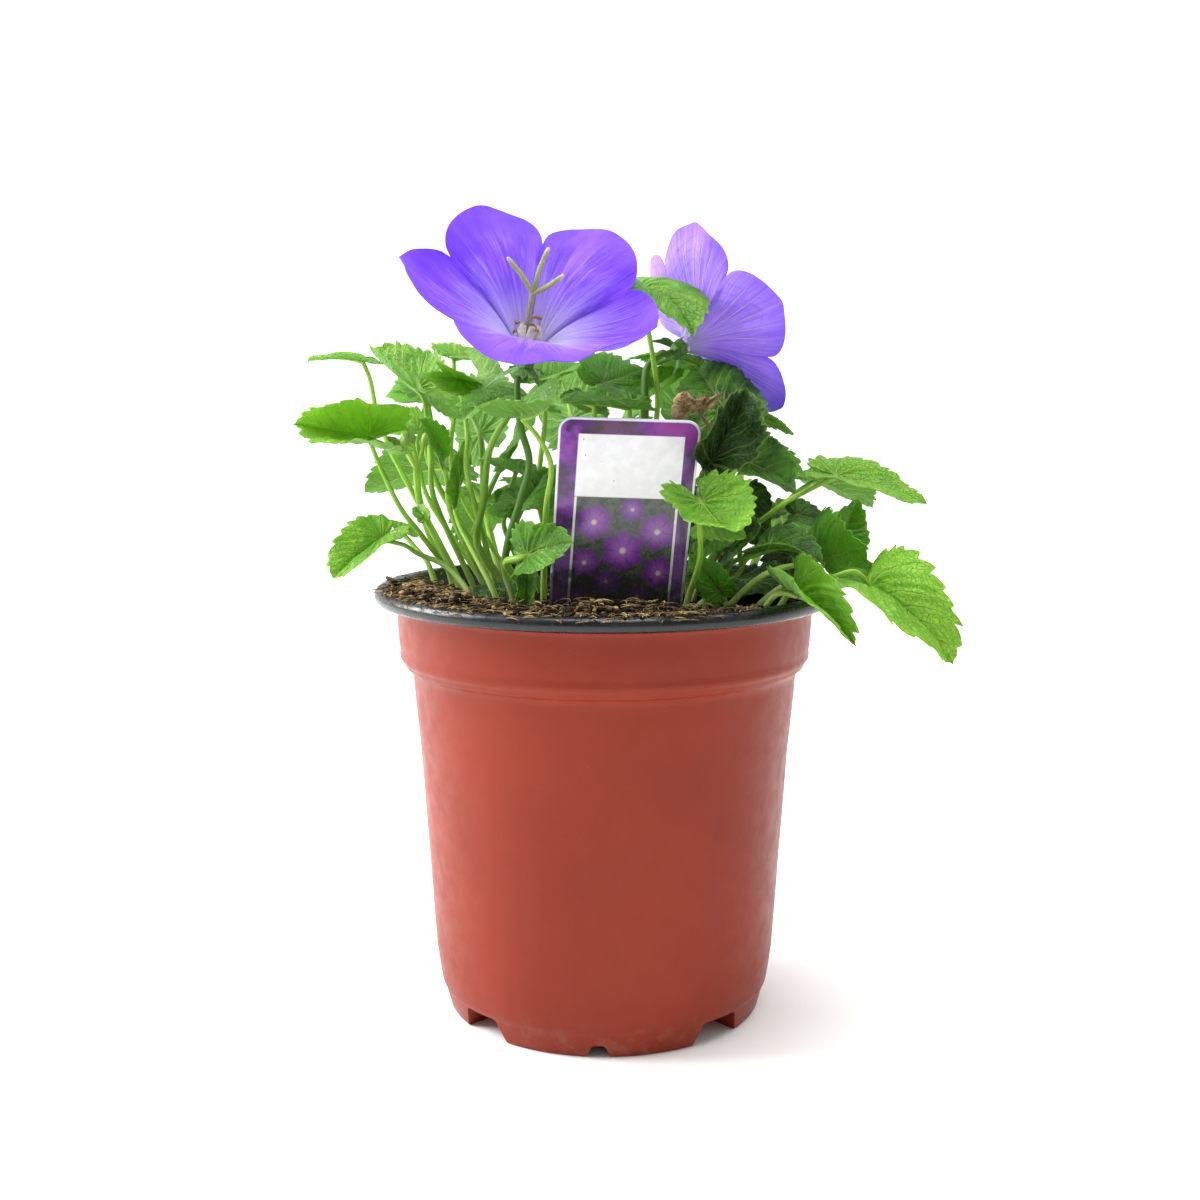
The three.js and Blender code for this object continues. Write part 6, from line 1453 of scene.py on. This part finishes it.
for leaf in LEAVES:
    if leaf["k"] == "dry":
        make_withered(leaf)
        continue
    S = Soup()
    big = max(leaf["w"], leaf["L0"]) > 17
    f = leaf_blade(S, leaf, nr=15 if big else 11)
    leaf_stalk(S, leaf, f, leaf["path"])
    S.build("grown_" + leaf["name"], [M_TOP, M_UNDER, M_STALK], (leaf["name"],), "leaf_underside" if leaf["k"] == "under" else "leaf", angle=70)

# young leaves low down between the stalks, in the shade of the others; that shade is painted into their dark tones
INNER = [
    dict(name='inner_leaf_1', k='top', b=(28.99, -10.00, 123.06), t=(22.40, -16.00, 114.98), n=(-0.2163, -0.6913, 0.6894), w=12.0, bend=.35, fold=.3, curl=-.3, diff=.05, r=.7, seed=301, tone_and_shade=-0.30, L0=12.0,
         path=[(30.95, -7.47, 124.04), (25.49, -7.50, 113.53), (22.00, -8.00, 104.50), (22.00, -8.00, 100.50)]),
    dict(name='inner_leaf_2', k='top', b=(34.15, 0.00, 128.59), t=(37.50, -3.00, 116.93), n=(0.1375, -0.9490, 0.2838), w=14.0, bend=.35, fold=.3, curl=-.3, diff=.05, r=.7, seed=308, tone_and_shade=-0.75, L0=12.5,
         path=[(33.13, 2.14, 130.96), (29.07, 2.50, 116.29), (24.00, 2.00, 104.50), (24.00, 2.00, 100.50)]),
    dict(name='inner_leaf_3', k='top', b=(26.69, -24.00, 108.82), t=(19.93, -26.00, 117.09), n=(0.3704, -0.9255, 0.0787), w=9.0, bend=.35, fold=.3, curl=-.3, diff=.05, r=.7, seed=315, tone_and_shade=0.10, L0=10.9,
         path=[(28.00, -22.06, 106.42), (26.84, -18.50, 106.41), (27.00, -16.00, 104.50), (27.00, -16.00, 100.50)]),
    dict(name='inner_leaf_4', k='top', b=(47.53, 6.00, 113.41), t=(40.95, 0.00, 105.53), n=(0.0035, -0.7969, 0.6041), w=14.0, bend=.35, fold=.3, curl=-.3, diff=.05, r=.7, seed=322, tone_and_shade=-0.85, L0=11.9,
         path=[(49.18, 8.71, 114.49), (39.76, 8.50, 108.70), (32.00, 8.00, 104.50), (32.00, 8.00, 100.50)]),
    dict(name='inner_leaf_5', k='top', b=(23.37, -6.00, 127.34), t=(17.47, -8.00, 117.72), n=(-0.2386, -0.9113, 0.3355), w=13.0, bend=.35, fold=.3, curl=-.3, diff=.05, r=.7, seed=329, tone_and_shade=-0.60, L0=11.5,
         path=[(25.27, -4.11, 129.36), (20.68, -1.50, 115.67), (18.00, 0.00, 104.50), (18.00, 0.00, 100.50)]),
]
for leaf in INNER:
    S = Soup()
    f = leaf_blade(S, leaf, nr=9)
    leaf_stalk(S, leaf, f, leaf["path"])
    S.build(leaf["name"], [M_TOP, M_UNDER, M_STALK], (), "leaf", angle=70)

for sh in SHOOTS:
    S = Soup()
    c = curve(sh["stem"], 40)
    tube(S, c, np.linspace(sh["r"] * .75, sh["r"] * 1.15, 40), 9, mi=2, tn=(.2, 0, .3), bumps=.05)
    for leaf in sh["leaves"]:
        f = leaf_blade(S, leaf, nr=12)
        leaf_stalk(S, leaf, f, leaf["path"], to_soil=False)
    S.build("grown_" + sh["name"], [M_TOP, M_UNDER, M_STALK], (sh["name"],), "leaf", angle=70)


# ------------------------------------------------------------------ flowers
BELL_S = [0, .12, .25, .4, .55, .7, .85, 1.0]
BELL_A = [math.radians(d) for d in (68, 62, 54, 44, 32, 18, 8, 2)]


def bell_frame(fl):
    a = unit(np.array(fl["axis"], float))
    e1 = unit(np.cross([0, 0, 1.0], a))
    e2 = np.cross(a, e1)
    c, s = math.cos(fl["turn"]), math.sin(fl["turn"])
    return np.array(fl["c"], float), a, c * e1 + s * e2, c * e2 - s * e1


def bell_rh(fl, u, th):
    k0 = np.floor((th + math.pi / 5) / (2 * math.pi / 5)).astype(int)
    ph = (th - k0 * 2 * math.pi / 5) / (math.pi / 5)
    k = k0 % 5
    kn = (k + np.sign(ph).astype(int)) % 5
    wn = .5 * np.abs(ph) ** 2
    mixed = lambda a: np.array(a)[k] * (1 - wn) + np.array(a)[kn] * wn
    d, l, e, tip = mixed(fl["bend"]), mixed(fl["size"]), mixed(fl["early"]), mixed(fl["tip"])
    g = np.maximum(0, 1 - np.abs(ph) ** 2.3) ** .60
    s = u * (fl["notch"] + (l - fl["notch"]) * g + tip * (.030 * np.exp(-(ph / .26) ** 2) + .014 * np.exp(-(ph / .09) ** 2)))
    r, h = np.full(u.shape, fl["r0"], float), np.zeros(u.shape)
    N = 16
    for i in range(N):
        t = s * (i + .5) / N
        A = np.interp(t, BELL_S, BELL_A) + d * np.clip((t - .25) / .75, 0, 1.2) ** 1.3 * 1.6 + e * np.sin(math.pi * np.clip(t / .8, 0, 1))
        r = r + np.cos(A) * s / N * fl["L"]
        h = h + np.sin(A) * s / N * fl["L"]
    return r, h, s, ph, k


def make_corolla(fl, name, node, seed):
    S = Soup()
    C, a, e1, e2 = bell_frame(fl)
    na, nu = 240, 46
    th = np.arange(na) * 2 * math.pi / na - math.pi / 5 + 1e-9
    u = np.linspace(.03, 1.0, nu) ** .95
    U, TH = np.meshgrid(u, th, indexing="ij")

    def at(U, TH):
        r, h, s, ph, k = bell_rh(fl, U, TH)
        return C + h[..., None] * a + (r * np.cos(TH))[..., None] * e1 + (r * np.sin(TH))[..., None] * e2, s, ph, k
    P, s, ph, k = at(U, TH)
    e = .02
    du = at(np.minimum(1, U + e), TH)[0] - at(U - e, TH)[0]
    dt = at(U, TH + e)[0] - at(U, TH - e)[0]
    N = np.cross(dt, du)
    N /= np.linalg.norm(N, axis=2)[..., None] + 1e-12
    if np.sum((P - C) @ a * 0 + np.einsum("ijk,ijk->ij", N, P - (C + a * 60))) < 0:
        N = N * 1.0
    inward = np.sign(np.mean(np.einsum("ijk,ijk->ij", N, (C + a * 60) - P)))
    N = N * inward                      # points into the bell
    aph = np.abs(ph)
    jn = np.exp(-((1 - aph) / .085) ** 2) * np.clip(U / .15, 0, 1) * np.clip((1.0 - U) / .25, 0, 1)
    rib = np.exp(-(ph / .05) ** 2) * np.clip(U / .1, 0, 1) * np.clip((1.02 - U) / .3, 0, 1)
    rib2 = (np.exp(-((aph - (s * .14 + .21)) / .045) ** 2) + np.exp(-((aph - (s * .24 + .35)) / .045) ** 2)) * np.clip(U / .1, 0, 1) * np.clip((.95 - U) / .3, 0, 1)
    nz = np.zeros(P.shape[:2])
    fine = np.zeros(P.shape[:2])
    for i in range(nu):
        for j in range(na):
            q = P[i, j]
            nz[i, j] = mnoise.noise(Vector((q[0] * .11 + seed, q[1] * .11, q[2] * .11)))
            fine[i, j] = mnoise.noise(Vector((math.cos(TH[i, j]) * 8, math.sin(TH[i, j]) * 8, s[i, j] * 2.2 + seed)))
    wave = np.sin(TH * 10 + seed) * .35 * U ** 4
    H = -.55 * jn - .22 * rib - .14 * rib2 + nz * .8 * U ** 1.5 + fine * .22 * U + wave
    t = .34 * (1 - .45 * U ** 6)
    inn = P + N * (H + t / 2)[..., None]
    out = P + N * (H - t / 2)[..., None]
    # a narrow line along the folds between the lobes, used by the petal materials as painted shade
    crease_shade = np.exp(-((1 - aph) / .035) ** 2) * np.clip((s - .08) / .1, 0, 1) * np.clip((.72 - s) / .3, 0, 1)
    lc = np.stack([s, aph, np.sin(TH)], 2).reshape(-1, 3)
    tn = np.stack([crease_shade, U, np.cos(TH)], 2).reshape(-1, 3)
    n = nu * na
    q, mi = [], []
    for base, flip, mm in ((0, True, 0), (n, False, 1)):
        for i in range(nu - 1):
            for j in range(na):
                j2 = (j + 1) % na
                p0, p1, p2, p3 = base + i * na + j, base + i * na + j2, base + (i + 1) * na + j2, base + (i + 1) * na + j
                q.append((p0, p1, p2, p3) if flip else (p0, p3, p2, p1))
                mi.append(mm)
    for j in range(na):
        j2 = (j + 1) % na
        e0, e1_ = (nu - 1) * na + j, (nu - 1) * na + j2
        q.append((e0, e1_, n + e1_, n + e0))
        mi.append(0)
        q.append((j, n + j, n + j2, j2))
        mi.append(1)
    S.add(np.concatenate([inn.reshape(-1, 3), out.reshape(-1, 3)]), q, np.vstack([lc, lc]), np.vstack([tn, tn]), mi)
    return S.build(name, [M_PIN, M_POUT], (node,), "petal", angle=80)


make_corolla(FLOWER_1, "bell_corolla_1", "flower_1_corolla", 1)
make_corolla(FLOWER_2, "bell_corolla_2", "flower_2_corolla", 2)


def sepal(S, p0, p1, p2, axis, width, seed):
    """A narrow pointed sepal along a curve, slightly keeled."""
    c = curve([p0, p1, p2], 14)
    tg = np.gradient(c, axis=0)
    tg /= np.linalg.norm(tg, axis=1)[:, None]
    v, lc, tn = [], [], []
    prof = np.interp(np.linspace(0, 1, 14), [0, .15, .45, .8, 1], [.75, 1, .82, .38, .03]) * width
    for i in range(14):
        side = unit(np.cross(tg[i], axis))
        nn = np.cross(side, tg[i])
        for x, z in ((-1, .05), (-.5, .16), (0, .26), (.5, .16), (1, .05), (.5, -.14), (0, -.1), (-.5, -.14)):
            v.append(c[i] + side * x * prof[i] + nn * (z * .8 - .25 * (1 - abs(x)) * .6) * min(1, prof[i] / .5 + .2))
            lc.append((x, z, i * .5))
            tn.append((0, i / 13, seed))
    q = []
    for i in range(13):
        for j in range(8):
            k = (j + 1) % 8
            q.append((i * 8 + j, i * 8 + k, (i + 1) * 8 + k, (i + 1) * 8 + j))
    q.append(tuple(range(8))[::-1])
    q.append(tuple(13 * 8 + j for j in range(8)))
    S.add(v, q, lc, tn, 1)


def make_flower_stem(fl, radius, sepals, name, node, seed):
    S = Soup()
    C, a, e1, e2 = bell_frame(fl)
    gap = .75
    top, low = C - a * (gap + .8), C - a * (gap + 4.2)
    path = curve([top, low] + [np.array(p, float) for p in fl["stem"]], 70)
    rad = radius * np.concatenate([np.linspace(1.0, .85, 10), np.linspace(.85, 1.15, 60)])
    tube(S, path, rad, 10, 0, tn=(-1, 0, .95), bumps=.05, seed=seed)
    # calyx cup with five ribs
    prof = [(.55, -3.9), (1.0, -3.5), (1.5, -2.9), (1.95, -2.2), (2.3, -1.3), (2.35, -.5), (2.1, .1), (1.35, .45), (.1, .55)]
    seg = 40
    v, lc, tn = [], [], []
    for i, (r, h) in enumerate(prof):
        for j in range(seg):
            t = j / seg * 2 * math.pi
            rr = r * (1 + .07 * math.cos(5 * t) + .03 * math.cos(10 * t)) * radius / 1.1
            v.append(C + a * h + e1 * rr * math.cos(t) + e2 * rr * math.sin(t))
            lc.append((math.cos(t), math.sin(t), h))
            tn.append((0, .3, seed))
    q = []
    for i in range(len(prof) - 1):
        for j in range(seg):
            k = (j + 1) % seg
            q.append((i * seg + j, i * seg + k, (i + 1) * seg + k, (i + 1) * seg + j))
    q.append(tuple(range(seg))[::-1])
    q.append(tuple((len(prof) - 1) * seg + j for j in range(seg)))
    S.add(v, q, lc, tn, 1)
    for ang, ln, drop in sepals:
        t = math.radians(ang)
        out = e1 * math.cos(t) + e2 * math.sin(t)
        p0 = C - a * (gap + 1.0) + out * 1.2
        p1 = C - a * (gap + 1.1 + drop * .42) + out * (1.5 + ln * .55)
        p2 = C - a * (gap + 1.4 + drop) + out * (1.6 + ln)
        sepal(S, p0, p1, p2, a, 1.45, seed + ang * .01)
    return S.build(name, [M_STALK, M_CALYX], (node,), "stem", angle=60)


make_flower_stem(FLOWER_1, .9, [(0, 6, 3), (72, 6, 3), (144, 8, 5.5), (216, 6, .5), (288, 3.2, 6.2)], "bell_stem_1", "flower_1_stem", 3)
make_flower_stem(FLOWER_2, 1.0, [(20, 4, 4), (92, 4, 4), (164, 4, 4), (236, 4, 4), (308, 4, 4)], "bell_stem_2", "flower_2_stem", 5)


def make_pistil_piece(name, nodes, shape):
    S = Soup()
    st = curve(shape["style"], 30)

    def papillae(path, rad, part, sides, seed, amp):
        v0 = S.n
        P = np.asarray(path)
        n = len(P)
        tg = np.gradient(P, axis=0)
        tg /= np.linalg.norm(tg, axis=1)[:, None]
        aa = unit(np.cross(tg[0], [0, 1.0, 0]))
        v, lc, tn = [], [], []
        Ls = np.concatenate([[0], np.cumsum(np.linalg.norm(np.diff(P, axis=0), axis=1))])
        for i in range(n):
            aa = unit(aa - tg[i] * (aa @ tg[i]))
            bb = np.cross(tg[i], aa)
            for j in range(sides):
                t = j / sides * 2 * math.pi
                k = 1 + amp * mnoise.noise(Vector((math.cos(t) * 3.1 + seed, math.sin(t) * 3.1, Ls[i] * 3.3)))
                v.append(P[i] + (aa * math.cos(t) + bb * math.sin(t)) * rad[i] * k)
                lc.append((math.cos(t), math.sin(t), Ls[i]))
                tn.append((part, i / (n - 1), seed))
        q = []
        for i in range(n - 1):
            for j in range(sides):
                k = (j + 1) % sides
                q.append((i * sides + j, i * sides + k, (i + 1) * sides + k, (i + 1) * sides + j))
        q.append(tuple(range(sides))[::-1])
        q.append(tuple((n - 1) * sides + j for j in range(sides)))
        S.add(v, q, lc, tn, 0)
    papillae(st, np.interp(np.linspace(0, 1, 30), [0, .3, .75, 1], [.85, .62, .56, .66]), 0.0, 14, 1, .18)
    for i, arm in enumerate(shape["arms"]):
        c = curve(arm, 34)
        rad = np.interp(np.linspace(0, 1, 34), [0, .15, .5, .88, .97, 1], [.48, .55, .58, .54, .42, .10])
        papillae(c, rad, 1.0, 14, 4 + i * 3, .42)
    return S.build(name, [M_PIST], nodes, "pistil")


def second_flower(p):
    """The same point of the first flower's style, a little smaller, in the second flower."""
    (C1, a1, b1, c1), (C2, a2, b2, c2) = bell_frame(FLOWER_1), bell_frame(FLOWER_2)
    d = (np.array(p, float) - C1) * .8
    return C2 + a2 * (d @ a1) + b2 * (d @ b1) + c2 * (d @ c1)


make_pistil_piece("bell_pistil", ("flower_1_pistil",), PISTIL)
make_pistil_piece("bell_pistil_2", (), dict(style=[second_flower(p) for p in PISTIL["style"]],
                                            arms=[[second_flower(p) for p in arm] for arm in PISTIL["arms"]]))


def make_stamens_piece():
    S = Soup()
    C, a, e1, e2 = bell_frame(FLOWER_1)
    rs = np.random.RandomState(3)
    # broad papery bases standing round the style
    for i in range(5):
        t = i * 2 * math.pi / 5 + .4
        out = e1 * math.cos(t) + e2 * math.sin(t)
        side = np.cross(a, out)
        v, lc, tn = [], [], []
        nu, nv = 10, 9
        for iu in range(nu):
            uu = iu / (nu - 1)
            for iv in range(nv):
                vv = iv / (nv - 1) * 2 - 1
                w = (2.0 * math.sin(math.pi * (.18 + .74 * uu)) + .1)
                r = 1.3 + 2.0 * math.sin(math.pi * uu * .9) * (1 - .4 * vv * vv)
                h = 1.3 + 7.4 * uu
                nz = mnoise.noise(Vector((uu * 4 + i * 9, vv * 2.2, 1)))
                v.append(C + a * (h + nz * .3) + out * (r + nz * .55) + side * vv * w)
                lc.append((vv, uu, h))
                tn.append((.15 + .5 * max(0, uu - .6), uu, i * .2))
        k = len(v)
        v2 = [p - out * .22 for p in v]
        q = []
        for iu in range(nu - 1):
            for iv in range(nv - 1):
                p = iu * nv + iv
                q.append((p, p + 1, p + nv + 1, p + nv))
                q.append((k + p, k + p + nv, k + p + nv + 1, k + p + 1))
        for iu in range(nu - 1):
            for e, fl in ((0, 1), (nv - 1, 0)):
                p = iu * nv + e
                f = (p, p + nv, k + p + nv, k + p)
                q.append(f if fl else f[::-1])
        for iv in range(nv - 1):
            for e, fl in ((0, 0), ((nu - 1) * nv, 1)):
                p = e + iv
                f = (p, p + 1, k + p + 1, k + p)
                q.append(f[::-1] if not fl else f)
        S.add(np.array(v + v2), q, lc + lc, tn + tn, 0)
    # limp filaments with shrivelled anthers
    for i, (p, q_) in enumerate(STAMENS["pairs"]):
        p, q_ = np.array(p), np.array(q_)
        mid = (p + q_) / 2 + rs.uniform(-.35, .35, 3)
        c = curve([p, mid, q_], 18)
        tube(S, c, np.interp(np.linspace(0, 1, 18), [0, .6, 1], [.42, .28, .2]), 7, tn=(.35, 0, i * .2), bumps=.3, seed=i * 7)
        d = unit(q_ - p)
        sd = unit(np.cross(d, [0, 1, 0.2]))
        e = [q_ - sd * .2, q_ + sd * .9 + d * .25, q_ + sd * 1.9 - d * .1, q_ + sd * 2.7 + d * .15] if i == 1 else [q_, q_ + d * .3 + sd * .5, q_ + sd * 1.1 - d * .3]
        c = curve(e, 14)
        tube(S, c, np.interp(np.linspace(0, 1, 14), [0, .2, .6, 1], [.2, .42, .4, .12]), 8, tn=(1.0, 0, i * .2), bumps=.5, seed=i * 5 + 2)
    return S.build("bell_stamens", [M_STAM], ("flower_1_stamens",), "stamens")


make_stamens_piece()


def make_bud_shoot():
    S = Soup()
    c = curve(BUDS["stem"], 50)
    tube(S, c, np.linspace(.85, 1.15, 50), 10, 0, tn=(.3, 0, .6), bumps=.05, seed=9)
    for i, tw in enumerate(BUDS["twigs"]):
        tw = [np.array(p) for p in tw]
        c = curve(tw, 14)
        tube(S, c, np.linspace(.62, .42, 14), 8, 0, tn=(.4, 0, .2 * i), bumps=.05, seed=i)
        tip = tw[-1]
        d = unit(tw[-1] - tw[-2])
        s1 = unit(np.cross([0, 1.0, 0], d))
        s2 = np.cross(s1, d)
        n, seg = 16, 20
        v, lc, tn = [], [], []
        for k in range(n):
            u = k / (n - 1)
            r = 1.12 * math.sin(math.pi * (.06 + .92 * u)) ** .7 * (1 - .35 * u)
            h = -1.7 + 3.9 * u
            for j in range(seg):
                t = j / seg * 2 * math.pi
                rr = r * (1 + .10 * math.cos(5 * t + i) * min(1, u * 2))
                v.append(tip + d * h + (s1 * math.cos(t) + s2 * math.sin(t)) * rr)
                lc.append((math.cos(t), math.sin(t), h))
                tn.append((0, u, i * .3))
        q = []
        for k in range(n - 1):
            for j in range(seg):
                jj = (j + 1) % seg
                q.append((k * seg + j, k * seg + jj, (k + 1) * seg + jj, (k + 1) * seg + j))
        q.append(tuple(range(seg))[::-1])
        q.append(tuple((n - 1) * seg + j for j in range(seg)))
        S.add(v, q, lc, tn, 1)
        for j in range(4):
            t = j * math.pi / 2 + i
            out = s1 * math.cos(t) + s2 * math.sin(t)
            sepal(S, tip - d * 1.4 + out * .5, tip - d * .2 + out * 1.15, tip + d * 1.3 + out * .85, d, .45, i + j * .1)
    return S.build("bud_shoot_grown", [M_STALK, M_BUD], ("bud_shoot",), "stem", angle=60)


make_bud_shoot()
